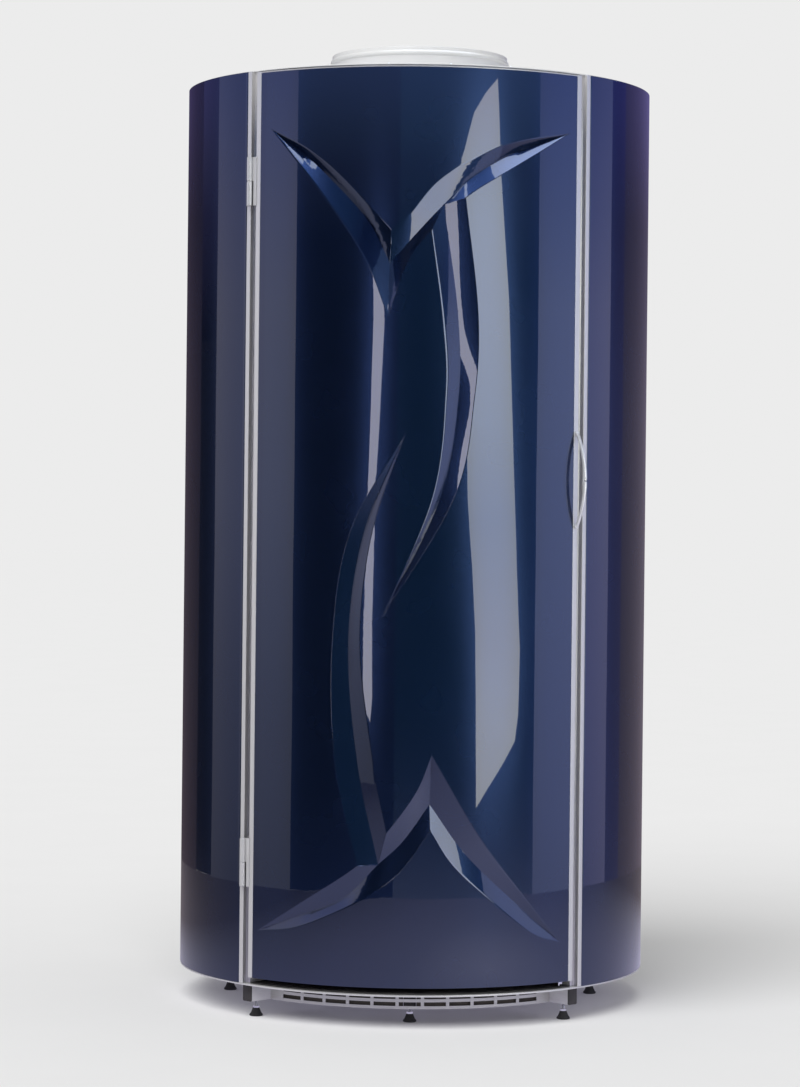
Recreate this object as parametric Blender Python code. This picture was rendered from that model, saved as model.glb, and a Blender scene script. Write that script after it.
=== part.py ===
# Stand-up tanning booth: a round cabin on eight levelling feet, with one
# curved, moulded door, lamps all round behind clear shields and a roof fan.
# Metres, +Z up, origin on the cabin's axis at floor level, door towards -Y.
# Angles are in degrees from the door's middle, positive towards +X.

import math

import bmesh
import bpy
from mathutils import Matrix, Vector
from mathutils.geometry import delaunay_2d_cdt

# Shell
SHELL_RADIUS = 0.560
SHELL_HEIGHT = 2.104
WALL_DEPTH = 0.142
SEAT_GAP = 0.0003
SHEET_CLEARANCE = 0.0008
QUARTER = 45.0

# Facets of round forms
ARC_STEP = 4.5
COWL_SEGMENTS = 32
HUB_SEGMENTS = 16
ROUND_SEGMENTS = 12
LAMP_SEGMENTS = 8
ROD_SEGMENTS = 8

# Chassis and feet
FRAME_CLEARANCE = 0.036
BEAM_WIDTH = 0.028
BEAM_HEIGHT = 0.0385
BEAM_WALL = 0.0025
LONG_BEAM_ANGLES = (43.5, 136.5, -136.5, -43.5)
SHORT_BEAM_ANGLES = (0.0, 90.0, 180.0, -90.0)
LONG_BEAM_SETBACK = 0.013
SHORT_BEAM_SETBACK = 0.092
CAP_THICKNESS = 0.003
CAP_SPIGOT = 0.008
CAP_CLEARANCE = 0.0004
LONG_FOOT_SETBACK = 0.030
SHORT_FOOT_SETBACK = 0.030
PAD_RADIUS = 0.0155
PAD_RIM = 0.004
PAD_HEIGHT = 0.018
STEM_RADIUS = 0.004
STEM_ENGAGEMENT = 0.020
NUT_ACROSS = 0.013
NUT_HEIGHT = 0.006
BORE_CLEARANCE = 0.0004

# Floor and intake
DECK_THICKNESS = 0.004
DECK_INSET = 0.0005
MAT_THICKNESS = 0.003
MAT_LIP = 0.011
GRILLE_SETBACK = 0.075
GRILLE_SHEET = 0.002
GRILLE_SLOTS = 11
GRILLE_END_WIDTH = 0.035
GRILLE_BAR_WIDTH = 0.0075
GRILLE_SLOT_HEIGHT = 0.009
GRILLE_MID_BAR = 0.007

# Posts and panels
FRONT_POST_WIDTH = 0.026
FRONT_POST_STRIP_WIDTH = 0.0125
POST_REBATE = 0.012
POST_WALL = 0.002
REAR_STRIP_WIDTH = 0.013
REAR_STRIP_THICKNESS = 0.004
REAR_WEB = 0.006
REAR_INNER_FLANGE = 0.020
PANEL_SKIN = 0.003
PANEL_RETURN = 0.015

# Roof and fan
ROOF_SHEET = 0.0025
ROOF_INSET = 0.007
COWL_RADIUS = 0.213
COWL_WALL = 0.003
COWL_HEIGHT = 0.089
COWL_FLANGE = 0.022
COWL_BEAD = 0.004
COWL_BEAD_DROP = 0.015
FAN_OPENING_INSET = 0.006
GUARD_SHEET = 0.003
GUARD_OVERLAP = 0.012
GUARD_HUB = 0.030
GUARD_RINGS = 3
GUARD_RIB = 0.006
GUARD_SECTORS = 6
GUARD_SPOKE = 4.0
MOTOR_RADIUS = 0.045
MOTOR_HEIGHT = 0.040
MOTOR_LIFT = 0.030
SHAFT_RADIUS = 0.006
ARM_COUNT = 3
ARM_WIDTH = 0.020
ARM_THICKNESS = 0.006
IMPELLER_HUB = 0.050
IMPELLER_HEIGHT = 0.020
IMPELLER_TIP_GAP = 0.012
BLADE_COUNT = 5
BLADE_CHORD = 0.062
BLADE_THICKNESS = 0.0025
BLADE_PITCH_ROOT = 16.0
BLADE_PITCH_TIP = 11.0
BLADE_STEPS = 3
GLAND_RADIUS = 0.014
GLAND_BORE = 0.006
GLAND_HEIGHT = 0.030
GLAND_SETBACK = 0.160

# Lamps, reflectors and shields
SHIELD_SHEET = 0.004
SHIELD_TOP_GAP = 0.004
LAMP_RADIUS = 0.019
LAMP_WALL = 0.0012
LAMP_DEPTH = 0.105
LAMP_PITCH = 9.0
LAMPS_FIXED = 10
LAMPS_DOOR = 9
HOLDER_DEPTH = 0.045
HOLDER_HEIGHT = 0.028
HOLDER_END_GAP = 0.004
REFLECTOR_DEPTH = 0.071
REFLECTOR_SHEET = 0.002
BALLAST_WIDTH = 0.060
BALLAST_DEPTH = 0.034
BALLAST_HEIGHT = 0.300
BALLAST_COLUMNS = 3
BALLAST_ROWS = 2
BALLAST_SPACING = 0.140
BALLAST_ROW_PITCH = 0.360
BALLAST_BOTTOM = 0.180
RACK_SHEET = 0.002

# Door
DOOR_GAP = 0.0035
DOOR_TRIM_WIDTH = 0.0142
DOOR_SILL_GAP = 0.016
DOOR_HEAD_GAP = 0.003
DOOR_SKIN = 0.004
RAIL_HEIGHT = 0.026
RAIL_WALL = 0.002
RELIEF_SIDE_MARGIN = 0.0138
RELIEF_END_MARGIN = 0.091
GROOVE_DEPTH = 0.016
GROOVE_FULL_WIDTH = 0.036
GROOVE_STEPS = 9

# Hinges
HINGE_TOP_DISTANCE = 0.254
HINGE_FOOT_DISTANCE = 0.280
HINGE_HEIGHT = 0.112
HINGE_SETBACK = 0.0157
HINGE_LIFT = 0.007
KNUCKLE_RADIUS = 0.0065
HINGE_PIN_RADIUS = 0.003
HINGE_CLEARANCE = 0.0003
HINGE_LEAF = 0.0022
HINGE_LEAF_EDGE = 0.0015
HINGE_SLIT = 0.0014
HINGE_LAP = 0.003

# Door handle and catch
HANDLE_LOW = 1.046
HANDLE_LENGTH = 0.214
HANDLE_PROJECTION = 0.035
HANDLE_ROD = 0.0042
HANDLE_STUD_RADIUS = 0.0055
HANDLE_STUD_HEIGHT = 0.007
HANDLE_STEPS = 12
CATCH_ANGLE = 38.6
CATCH_WIDTH = 0.012
CATCH_HEIGHT = 0.006
CATCH_PIN_RADIUS = 0.0022
CATCH_PIN_LENGTH = 0.007

# Controls
CONTROL_ANGLE = 53.0
CONTROL_WIDTH = 0.070
CONTROL_HEIGHT = 0.190
CONTROL_DEPTH = 0.014
CONTROL_LEVEL = 1.280
CONTROL_EDGE = 0.004
BUTTON_RADIUS = 0.010
BUTTON_CLEARANCE = 0.0004
BUTTON_HEIGHT = 0.009
BUTTON_SINK = 0.005
BUTTON_SPACING = 0.060
WELL_DEPTH = 0.0088

# Heights and radii that follow from the sizes above
BEAM_TOP = FRAME_CLEARANCE + BEAM_HEIGHT
DECK_BOTTOM = BEAM_TOP + SEAT_GAP
DECK_TOP = DECK_BOTTOM + DECK_THICKNESS
SHELL_BOTTOM = DECK_TOP + SEAT_GAP
SHELL_TOP = SHELL_BOTTOM + SHELL_HEIGHT
ROOF_BOTTOM = SHELL_TOP + SEAT_GAP
ROOF_TOP = ROOF_BOTTOM + ROOF_SHEET
COWL_BOTTOM = ROOF_TOP + SEAT_GAP
COWL_TOP = COWL_BOTTOM + COWL_HEIGHT
COWL_BORE = COWL_RADIUS - COWL_WALL
FAN_OPENING = COWL_BORE - FAN_OPENING_INSET
SHIELD_INNER = SHELL_RADIUS - WALL_DEPTH
SHIELD_OUTER = SHIELD_INNER + SHIELD_SHEET
WALL_INNER = SHIELD_OUTER + SHEET_CLEARANCE
LAMP_CIRCLE = SHELL_RADIUS - LAMP_DEPTH
HOLDER_INNER = LAMP_CIRCLE - HOLDER_DEPTH / 2
HOLDER_OUTER = LAMP_CIRCLE + HOLDER_DEPTH / 2
REFLECTOR_OUTER = SHELL_RADIUS - REFLECTOR_DEPTH
REFLECTOR_INNER = REFLECTOR_OUTER - REFLECTOR_SHEET
RACK_INNER = REFLECTOR_OUTER + SHEET_CLEARANCE
GRILLE_RADIUS = SHELL_RADIUS - GRILLE_SETBACK
DOOR_BOTTOM = DECK_TOP + DOOR_SILL_GAP
DOOR_TOP = SHELL_TOP - DOOR_HEAD_GAP
LONG_BEAM_REACH = SHELL_RADIUS - LONG_BEAM_SETBACK
SHORT_BEAM_REACH = SHELL_RADIUS - SHORT_BEAM_SETBACK
HINGE_RADIUS = SHELL_RADIUS + HINGE_LIFT


def arc_degrees(length, radius=SHELL_RADIUS):
    return math.degrees(length / radius)


GAP_DEGREES = arc_degrees(SEAT_GAP)
POST_DOOR_SIDE = QUARTER - arc_degrees(FRONT_POST_WIDTH)
POST_STRIP_SIDE = QUARTER - arc_degrees(FRONT_POST_STRIP_WIDTH)
DOOR_EDGE = POST_DOOR_SIDE - arc_degrees(DOOR_GAP)
TRIM_INNER = DOOR_EDGE - arc_degrees(DOOR_TRIM_WIDTH)
SKIN_EDGE = TRIM_INNER - GAP_DEGREES
HINGE_ANGLE = -(QUARTER - arc_degrees(HINGE_SETBACK))

# Door relief: six V grooves on the skin. Points are shares of the relief's half
# width and half height, from the skin's centre. Each groove has one list for
# each edge and one for its valley, from the tip or mouth to the other end.
TOP_NOTCH = (-0.157, 0.706)
TOP_VALLEY = (-0.168, 0.627)
TOP_APEX = (-0.173, 0.499)
LOW_APEX = (0.115, -0.539)
LOW_VALLEY = (0.107, -0.660)
LOW_NOTCH = (0.110, -0.724)
TOP_MOUTH = ((0.079, 0.702), (0.157, 0.768), (0.285, 0.779))
LOW_MOUTH = ((-0.327, -0.808), (-0.204, -0.805), (-0.149, -0.727))
TOP_LEFT_TIP = (-0.955, 0.956)
TOP_RIGHT_TIP = (0.979, 0.953)
LOW_LEFT_TIP = (-1.000, -0.980)
LOW_RIGHT_TIP = (0.969, -1.000)
RIGHT_CRESCENT_TIP = (-0.202, -0.225)
LEFT_CRESCENT_TIP = (-0.058, 0.225)

TOP_LEFT_ARM = (
    (TOP_LEFT_TIP, (-0.681, 0.902), (-0.455, 0.831), TOP_NOTCH),
    (TOP_LEFT_TIP, (-0.652, 0.865), (-0.330, 0.739), TOP_VALLEY),
    (TOP_LEFT_TIP, (-0.610, 0.802), (-0.322, 0.640), TOP_APEX),
)
TOP_RIGHT_ARM = (
    (TOP_RIGHT_TIP, (0.741, 0.941), (0.381, 0.890), (0.120, 0.825), (-0.040, 0.750), TOP_NOTCH),
    (TOP_RIGHT_TIP, (0.647, 0.894), (0.330, 0.826), TOP_MOUTH[1], (-0.010, 0.698), TOP_VALLEY),
    (TOP_RIGHT_TIP, (0.531, 0.847), TOP_MOUTH[2], TOP_MOUTH[0], (-0.058, 0.628), TOP_APEX),
)
LOW_LEFT_ARM = (
    (LOW_LEFT_TIP, (-0.681, -0.902), LOW_MOUTH[0], LOW_MOUTH[2], (0.026, -0.628), LOW_APEX),
    (LOW_LEFT_TIP, (-0.704, -0.935), (-0.408, -0.883), LOW_MOUTH[1], (-0.052, -0.748), LOW_VALLEY),
    (LOW_LEFT_TIP, (-0.717, -0.963), (-0.406, -0.912), (-0.196, -0.864), (-0.055, -0.816), LOW_NOTCH),
)
LOW_RIGHT_ARM = (
    (LOW_RIGHT_TIP, (0.723, -0.892), (0.416, -0.738), LOW_APEX),
    (LOW_RIGHT_TIP, (0.738, -0.925), (0.351, -0.788), LOW_VALLEY),
    (LOW_RIGHT_TIP, (0.725, -0.964), (0.280, -0.820), LOW_NOTCH),
)
RIGHT_CRESCENT = (
    (TOP_MOUTH[0], (0.152, 0.486), (0.173, 0.318), (0.100, 0.071), RIGHT_CRESCENT_TIP),
    (TOP_MOUTH[1], (0.246, 0.507), (0.254, 0.307), (0.144, 0.066), RIGHT_CRESCENT_TIP),
    (TOP_MOUTH[2], (0.369, 0.507), (0.351, 0.307), (0.236, 0.071), RIGHT_CRESCENT_TIP),
)
LEFT_CRESCENT = (
    (LOW_MOUTH[0], (-0.471, -0.565), (-0.495, -0.281), (-0.393, -0.018), LEFT_CRESCENT_TIP),
    (LOW_MOUTH[1], (-0.340, -0.565), (-0.406, -0.281), (-0.314, -0.018), LEFT_CRESCENT_TIP),
    (LOW_MOUTH[2], (-0.228, -0.565), (-0.319, -0.281), (-0.254, -0.018), LEFT_CRESCENT_TIP),
)
# The crescents come first: they cut through the arms' facets at their mouths.
GROOVES = (RIGHT_CRESCENT, LEFT_CRESCENT, TOP_LEFT_ARM, TOP_RIGHT_ARM, LOW_LEFT_ARM, LOW_RIGHT_ARM)


# Mesh helpers

def polar(radius, degrees, z=0.0):
    angle = math.radians(degrees)
    return Vector((radius * math.sin(angle), -radius * math.cos(angle), z))


def arc_angles(start, end, step=ARC_STEP):
    count = max(2, 2 * math.ceil(abs(end - start) / step / 2))
    return [start + (end - start) * i / count for i in range(count + 1)]


def arc_points(radius, start, end):
    return [polar(radius, angle).xy for angle in arc_angles(start, end)]


def add_faces(bm, points, faces):
    verts = [bm.verts.new(point) for point in points]
    for face in faces:
        bm.faces.new([verts[i] for i in face])


def add_prism(bm, outline, low, high, hole=None):
    """Upright extrusion of a plan outline; a hole has as many points as the outline."""
    n = len(outline)
    loops = [outline] if hole is None else [outline, hole]
    points = [(p[0], p[1], z) for loop in loops for z in (low, high) for p in loop]
    ring = [(i, (i + 1) % n) for i in range(n)]
    faces = [(a, b, n + b, n + a) for a, b in ring]
    if hole is None:
        faces += [tuple(reversed(range(n))), tuple(range(n, 2 * n))]
    else:
        faces += [(2 * n + b, 2 * n + a, 3 * n + a, 3 * n + b) for a, b in ring]
        faces += [(b, a, 2 * n + a, 2 * n + b) for a, b in ring]
        faces += [(n + a, n + b, 3 * n + b, 3 * n + a) for a, b in ring]
    add_faces(bm, points, faces)


def add_arc_sweep(bm, profile, start, end):
    """Sweeps a closed profile of radius and height round the cabin's axis."""
    angles = arc_angles(start, end)
    n = len(profile)
    points = [polar(r, angle, z) for angle in angles for r, z in profile]
    faces = []
    for k in range(len(angles) - 1):
        for i in range(n):
            j = (i + 1) % n
            faces.append((k * n + i, k * n + j, (k + 1) * n + j, (k + 1) * n + i))
    last = (len(angles) - 1) * n
    faces.append(tuple(reversed(range(n))))
    faces.append(tuple(range(last, last + n)))
    add_faces(bm, points, faces)


def band(inner, outer, low, high):
    return [(inner, low), (outer, low), (outer, high), (inner, high)]


def add_lathe(bm, profile, segments, centre=(0.0, 0.0), closed=False):
    """Turns a profile of radius and height round an upright axis at centre."""
    rings = []
    for r, z in profile:
        if r < 1e-9:
            rings.append([bm.verts.new((centre[0], centre[1], z))])
            continue
        turns = [2 * math.pi * (k + 0.5) / segments for k in range(segments)]
        rings.append([
            bm.verts.new((centre[0] + r * math.cos(a), centre[1] + r * math.sin(a), z)) for a in turns
        ])
    pairs = list(zip(rings, rings[1:]))
    if closed:
        pairs.append((rings[-1], rings[0]))
    for low, high in pairs:
        for k in range(segments):
            m = (k + 1) % segments
            corners = [low[k % len(low)], low[m % len(low)], high[m % len(high)], high[k % len(high)]]
            bm.faces.new(list(dict.fromkeys(corners)))


def add_cylinder(bm, radius, low, high, segments, centre=(0.0, 0.0)):
    add_lathe(bm, [(0, low), (radius, low), (radius, high), (0, high)], segments, centre)


def add_box(bm, size, matrix):
    bmesh.ops.create_cube(bm, size=1.0, matrix=matrix @ Matrix.Diagonal((*size, 1.0)))


def add_cell_plate(bm, rows, columns, solid, spot, wraps=False):
    """Sheet of rectangular cells; spot gives a point from row, column and side."""
    nr = len(rows) - 1
    nc = len(columns) - 1
    width = nc if wraps else nc + 1
    verts = {}

    def vert(i, j, side):
        key = (i, j % width, side)
        if key not in verts:
            verts[key] = bm.verts.new(spot(rows[i], columns[j % width], side))
        return verts[key]

    def is_solid(i, j):
        if wraps:
            j = j % nc
        return 0 <= i < nr and 0 <= j < nc and solid(i, j)

    for i in range(nr):
        for j in range(nc):
            if not is_solid(i, j):
                continue
            corners = [(i, j), (i, j + 1), (i + 1, j + 1), (i + 1, j)]
            beside = [(i - 1, j), (i, j + 1), (i + 1, j), (i, j - 1)]
            bm.faces.new([vert(*corner, 0) for corner in corners])
            bm.faces.new([vert(*corner, 1) for corner in reversed(corners)])
            for k in range(4):
                if not is_solid(*beside[k]):
                    a = corners[k]
                    b = corners[(k + 1) % 4]
                    bm.faces.new([vert(*b, 0), vert(*a, 0), vert(*a, 1), vert(*b, 1)])


def add_rod(bm, path, radius, sides):
    """Round rod along a path, with flat ends."""
    rings = []
    for i, point in enumerate(path):
        ahead = path[min(i + 1, len(path) - 1)]
        behind = path[max(i - 1, 0)]
        turn = (ahead - behind).to_track_quat("Z", "Y")
        ring = []
        for k in range(sides):
            a = 2 * math.pi * k / sides
            ring.append(bm.verts.new(point + turn @ Vector((radius * math.cos(a), radius * math.sin(a), 0))))
        rings.append(ring)
    for low, high in zip(rings, rings[1:]):
        for k in range(sides):
            m = (k + 1) % sides
            bm.faces.new([low[k], low[m], high[m], high[k]])
    bm.faces.new(rings[0][::-1])
    bm.faces.new(rings[-1])


def solid_mesh(name, build, *args):
    """Runs a builder on an empty mesh and returns the closed mesh it leaves."""
    bm = bmesh.new()
    build(bm, *args)
    bmesh.ops.recalc_face_normals(bm, faces=bm.faces)
    mesh = bpy.data.meshes.new(name)
    bm.to_mesh(mesh)
    bm.free()
    return mesh


def scratch_object(mesh):
    obj = bpy.data.objects.new("scratch", mesh)
    bpy.context.scene.collection.objects.link(obj)
    return obj


def fused_mesh(name, base, joined=(), cut=()):
    """One closed mesh: base with solids joined to it, then others cut from it."""
    carrier = scratch_object(base)
    helpers = []
    for operation, meshes in (("UNION", joined), ("DIFFERENCE", cut)):
        for mesh in meshes:
            helper = scratch_object(mesh)
            helpers.append(helper)
            modifier = carrier.modifiers.new("fuse", "BOOLEAN")
            modifier.operation = operation
            modifier.solver = "EXACT"
            modifier.object = helper
    depsgraph = bpy.context.evaluated_depsgraph_get()
    result = bpy.data.meshes.new_from_object(carrier.evaluated_get(depsgraph))
    result.name = name
    for obj in [carrier, *helpers]:
        bpy.data.objects.remove(obj)
    return result


# Materials

def finish(name, color, roughness, metallic=0.0):
    material = bpy.data.materials.get(name)
    if material is None:
        material = bpy.data.materials.new(name)
        material.use_nodes = True
        shader = material.node_tree.nodes["Principled BSDF"]
        shader.inputs["Base Color"].default_value = (*color, 1.0)
        shader.inputs["Roughness"].default_value = roughness
        shader.inputs["Metallic"].default_value = metallic
    return material


def navy_gloss():
    return finish("navy_gloss", (0.020, 0.040, 0.110), 0.12, 0.3)


def satin_aluminium():
    return finish("satin_aluminium", (0.62, 0.61, 0.62), 0.32, 1.0)


def painted_steel():
    return finish("painted_steel", (0.48, 0.47, 0.47), 0.45, 0.2)


def black_plastic():
    return finish("black_plastic", (0.030, 0.027, 0.026), 0.5)


def black_rubber():
    return finish("black_rubber", (0.016, 0.016, 0.017), 0.75)


def bright_steel():
    return finish("bright_steel", (0.70, 0.70, 0.72), 0.15, 1.0)


def white_enamel():
    return finish("white_enamel", (0.80, 0.80, 0.79), 0.35)


def clear_acrylic():
    return finish("clear_acrylic", (0.90, 0.94, 0.95), 0.05)


def lamp_glass():
    return finish("lamp_glass", (0.86, 0.86, 0.90), 0.25)


def mirror_aluminium():
    return finish("mirror_aluminium", (0.85, 0.85, 0.86), 0.10, 1.0)


def green_plastic():
    return finish("green_plastic", (0.05, 0.42, 0.12), 0.35)


def red_plastic():
    return finish("red_plastic", (0.55, 0.03, 0.03), 0.35)


# Object placing

def place(name, mesh, material, parent=None, location=(0.0, 0.0, 0.0), turn=0.0):
    mesh.materials.clear()
    mesh.materials.append(material)
    mesh.shade_smooth()
    mesh.set_sharp_from_angle(angle=math.radians(30))
    obj = bpy.data.objects.new(name, mesh)
    bpy.context.scene.collection.objects.link(obj)
    obj.rotation_euler = (0.0, 0.0, math.radians(turn))
    obj.parent = parent
    obj.location = location
    if parent is not None:
        obj.location = Vector(location) - parent.location
    return obj


def pivot(name, location):
    empty = bpy.data.objects.new(name, None)
    bpy.context.scene.collection.objects.link(empty)
    empty.location = location
    return empty


# Chassis, feet and floor

def beam_list():
    beams = [(angle, LONG_BEAM_REACH) for angle in LONG_BEAM_ANGLES]
    beams += [(angle, SHORT_BEAM_REACH) for angle in SHORT_BEAM_ANGLES]
    return sorted(beams)


def star_outline(half_width):
    """Plan of the beams: for each one two end corners, then the corner to the next."""
    beams = beam_list()
    points = []
    for i, (angle, reach) in enumerate(beams):
        following = beams[(i + 1) % len(beams)][0]
        spread = (following - angle) % 360.0
        side = polar(half_width, angle + 90.0).xy
        end = polar(reach - CAP_THICKNESS - SEAT_GAP, angle).xy
        crotch = half_width / math.sin(math.radians(spread / 2))
        points += [end - side, end + side, polar(crotch, angle + spread / 2).xy]
    return points


def add_hollow_star(bm):
    outer = star_outline(BEAM_WIDTH / 2)
    inner = star_outline(BEAM_WIDTH / 2 - BEAM_WALL)
    n = len(outer)
    levels = [(outer, FRAME_CLEARANCE), (outer, BEAM_TOP)]
    levels += [(inner, FRAME_CLEARANCE + BEAM_WALL), (inner, BEAM_TOP - BEAM_WALL)]
    points = [(p[0], p[1], z) for loop, z in levels for p in loop]
    faces = [tuple(range(n))[::-1], tuple(range(n, 2 * n))]
    faces += [tuple(range(2 * n, 3 * n)), tuple(range(3 * n, 4 * n))[::-1]]
    for a in range(n):
        b = (a + 1) % n
        if a % 3 == 0:
            rims = [(a, b), (b, n + b), (n + b, n + a), (n + a, a)]
            faces += [(p, q, q + 2 * n, p + 2 * n) for p, q in rims]
        else:
            faces.append((a, b, n + b, n + a))
            faces.append((2 * n + b, 2 * n + a, 3 * n + a, 3 * n + b))
    add_faces(bm, points, faces)


def foot_places():
    places = []
    for angle, reach in beam_list():
        setback = LONG_FOOT_SETBACK if reach == LONG_BEAM_REACH else SHORT_FOOT_SETBACK
        places.append(polar(reach - setback, angle))
    return places


def add_foot_bores(bm):
    for spot in foot_places():
        radius = STEM_RADIUS + BORE_CLEARANCE
        add_cylinder(bm, radius, 0.0, FRAME_CLEARANCE + BEAM_HEIGHT / 2, ROD_SEGMENTS, spot.xy)


def make_chassis():
    star = solid_mesh("star", add_hollow_star)
    bores = solid_mesh("bores", add_foot_bores)
    place("chassis_frame", fused_mesh("chassis_frame", star, cut=[bores]), satin_aluminium())


def add_beam_cap(bm):
    plate = (CAP_THICKNESS, BEAM_WIDTH, BEAM_HEIGHT)
    add_box(bm, plate, Matrix.Translation((-CAP_THICKNESS / 2, 0, BEAM_HEIGHT / 2)))
    bm.faces.ensure_lookup_table()
    back = min(bm.faces, key=lambda face: face.calc_center_median().x)
    inset = BEAM_WALL + CAP_CLEARANCE
    bmesh.ops.inset_region(bm, faces=[back], thickness=inset, use_even_offset=True)
    plug = bmesh.ops.extrude_face_region(bm, geom=[back])
    moved = [item for item in plug["geom"] if isinstance(item, bmesh.types.BMVert)]
    bmesh.ops.translate(bm, verts=moved, vec=(-CAP_SPIGOT, 0, 0))
    bmesh.ops.delete(bm, geom=[back], context="FACES_ONLY")


def make_beam_caps():
    mesh = solid_mesh("beam_cap", add_beam_cap)
    capped = [*LONG_BEAM_ANGLES, SHORT_BEAM_ANGLES[0]]
    reaches = [*[LONG_BEAM_REACH] * len(LONG_BEAM_ANGLES), SHORT_BEAM_REACH]
    for i, (angle, reach) in enumerate(zip(capped, reaches)):
        spot = polar(reach, angle, FRAME_CLEARANCE)
        place(f"beam_cap_{i + 1}", mesh, black_plastic(), location=spot, turn=angle - 90.0)


def add_foot_body(bm):
    stem_top = FRAME_CLEARANCE + STEM_ENGAGEMENT
    neck = 2 * STEM_RADIUS
    profile = [
        (0, 0), (PAD_RADIUS, 0), (PAD_RADIUS, PAD_RIM), (neck, PAD_HEIGHT),
        (STEM_RADIUS, PAD_HEIGHT), (STEM_RADIUS, stem_top), (0, stem_top),
    ]
    add_lathe(bm, profile, ROUND_SEGMENTS)


def add_foot_nut(bm):
    low = PAD_HEIGHT - SEAT_GAP
    add_cylinder(bm, NUT_ACROSS / math.sqrt(3), low, low + NUT_HEIGHT, 6)


def make_feet():
    body = solid_mesh("foot_body", add_foot_body)
    nut = solid_mesh("foot_nut", add_foot_nut)
    mesh = fused_mesh("foot", body, joined=[nut])
    for i, spot in enumerate(foot_places()):
        place(f"foot_{i + 1}", mesh, black_rubber(), location=spot)


def add_deck(bm):
    add_prism(bm, arc_points(SHELL_RADIUS - DECK_INSET, 0.0, 360.0)[:-1], DECK_BOTTOM, DECK_TOP)


def add_mat(bm):
    front = DOOR_EDGE
    low = DECK_TOP + SEAT_GAP
    cabin = SHIELD_INNER - SHEET_CLEARANCE
    outline = arc_points(SHELL_RADIUS - MAT_LIP, -front, front)
    outline += arc_points(cabin, front, 360.0 - front)
    add_prism(bm, outline, low, low + MAT_THICKNESS)


def add_intake_grille(bm):
    bar = arc_degrees(GRILLE_BAR_WIDTH, GRILLE_RADIUS)
    beside_beam = math.degrees(math.asin((BEAM_WIDTH / 2 + SEAT_GAP) / GRILLE_RADIUS))
    end = LONG_BEAM_ANGLES[0] - beside_beam
    pitch = 2 * (end - arc_degrees(GRILLE_END_WIDTH, GRILLE_RADIUS)) / GRILLE_SLOTS
    columns = [-end]
    for k in range(GRILLE_SLOTS):
        centre = (k - (GRILLE_SLOTS - 1) / 2) * pitch
        columns += [centre - (pitch - bar) / 2, centre + (pitch - bar) / 2]
    columns.append(end)
    rail = (BEAM_HEIGHT - 2 * GRILLE_SLOT_HEIGHT - GRILLE_MID_BAR) / 2
    heights = [0.0, rail, GRILLE_SLOT_HEIGHT, GRILLE_MID_BAR, GRILLE_SLOT_HEIGHT, rail]
    rows = [FRAME_CLEARANCE + sum(heights[:i + 1]) for i in range(len(heights))]

    def solid(i, j):
        return i % 2 == 0 or j % 2 == 0

    def spot(z, angle, side):
        return polar(GRILLE_RADIUS - side * GRILLE_SHEET, angle, z)

    add_cell_plate(bm, rows, columns, solid, spot)


def make_floor():
    place("floor_deck", solid_mesh("floor_deck", add_deck), satin_aluminium())
    place("floor_mat", solid_mesh("floor_mat", add_mat), black_rubber())
    place("intake_grille", solid_mesh("intake_grille", add_intake_grille), satin_aluminium())


# Posts, panels, roof

def front_post_outline(side, inset):
    """Plan of a front post: outer strip, rebate for the door and a web to the shield."""
    def corner(radius, degrees, across):
        shift = polar(across, side * degrees + 90.0 * side).xy
        return polar(radius, side * degrees).xy + shift

    rebate = SHELL_RADIUS - POST_REBATE
    points = [
        corner(WALL_INNER + inset, POST_DOOR_SIDE, inset),
        corner(rebate - inset, POST_DOOR_SIDE, inset),
        corner(rebate - inset, POST_STRIP_SIDE, inset),
        corner(SHELL_RADIUS - inset, POST_STRIP_SIDE, inset),
        corner(SHELL_RADIUS - inset, QUARTER, -inset),
        corner(WALL_INNER + inset, QUARTER, -inset),
    ]
    return points


def add_front_post(bm, side):
    outer = front_post_outline(side, 0.0)
    inner = front_post_outline(side, POST_WALL)
    add_prism(bm, outer, SHELL_BOTTOM, SHELL_TOP, inner)


def add_rear_post(bm):
    strip = REAR_STRIP_WIDTH / 2
    web = REAR_WEB / 2
    flange = REAR_INNER_FLANGE / 2
    shell = math.sqrt(SHELL_RADIUS ** 2 - strip ** 2)
    neck = shell - REAR_STRIP_THICKNESS
    foot = WALL_INNER + REAR_STRIP_THICKNESS
    half = [(strip, -shell), (strip, -neck), (web, -neck)]
    half += [(web, -foot), (flange, -foot), (flange, -WALL_INNER)]
    outline = [(0.0, -SHELL_RADIUS), *half, *[(-x, y) for x, y in reversed(half)]]
    add_prism(bm, outline, SHELL_BOTTOM, SHELL_TOP)


def make_posts():
    for name, side in (("left", -1), ("right", 1)):
        mesh = solid_mesh(f"front_post_{name}", add_front_post, side)
        place(f"front_post_{name}", mesh, satin_aluminium())
        rear = solid_mesh(f"rear_post_{name}", add_rear_post)
        place(f"rear_post_{name}", rear, satin_aluminium(), turn=side * 3 * QUARTER)


def add_panel(bm, start, end):
    """Curved skin with both upright edges returned inwards."""
    inner = SHELL_RADIUS - PANEL_SKIN
    lip = SHELL_RADIUS - PANEL_RETURN
    skin = arc_degrees(PANEL_SKIN)
    outline = arc_points(SHELL_RADIUS, start, end)
    outline += [polar(lip, end).xy, polar(lip, end - skin).xy]
    outline += arc_points(inner, end - skin, start + skin)
    outline += [polar(lip, start + skin).xy, polar(lip, start).xy]
    add_prism(bm, outline, SHELL_BOTTOM, SHELL_TOP)


def sector_list():
    """Names, start and end angles of the three fixed wall sectors."""
    rear = 3 * QUARTER
    return (("right", QUARTER, rear), ("back", rear, 360.0 - rear), ("left", 360.0 - rear, 360.0 - QUARTER))


def sector_span(start, end, front_clear, rear_clear):
    rear = (3 * QUARTER, 360.0 - 3 * QUARTER)
    low = start + (rear_clear if start in rear else front_clear)
    high = end - (rear_clear if end in rear else front_clear)
    return low, high


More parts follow.
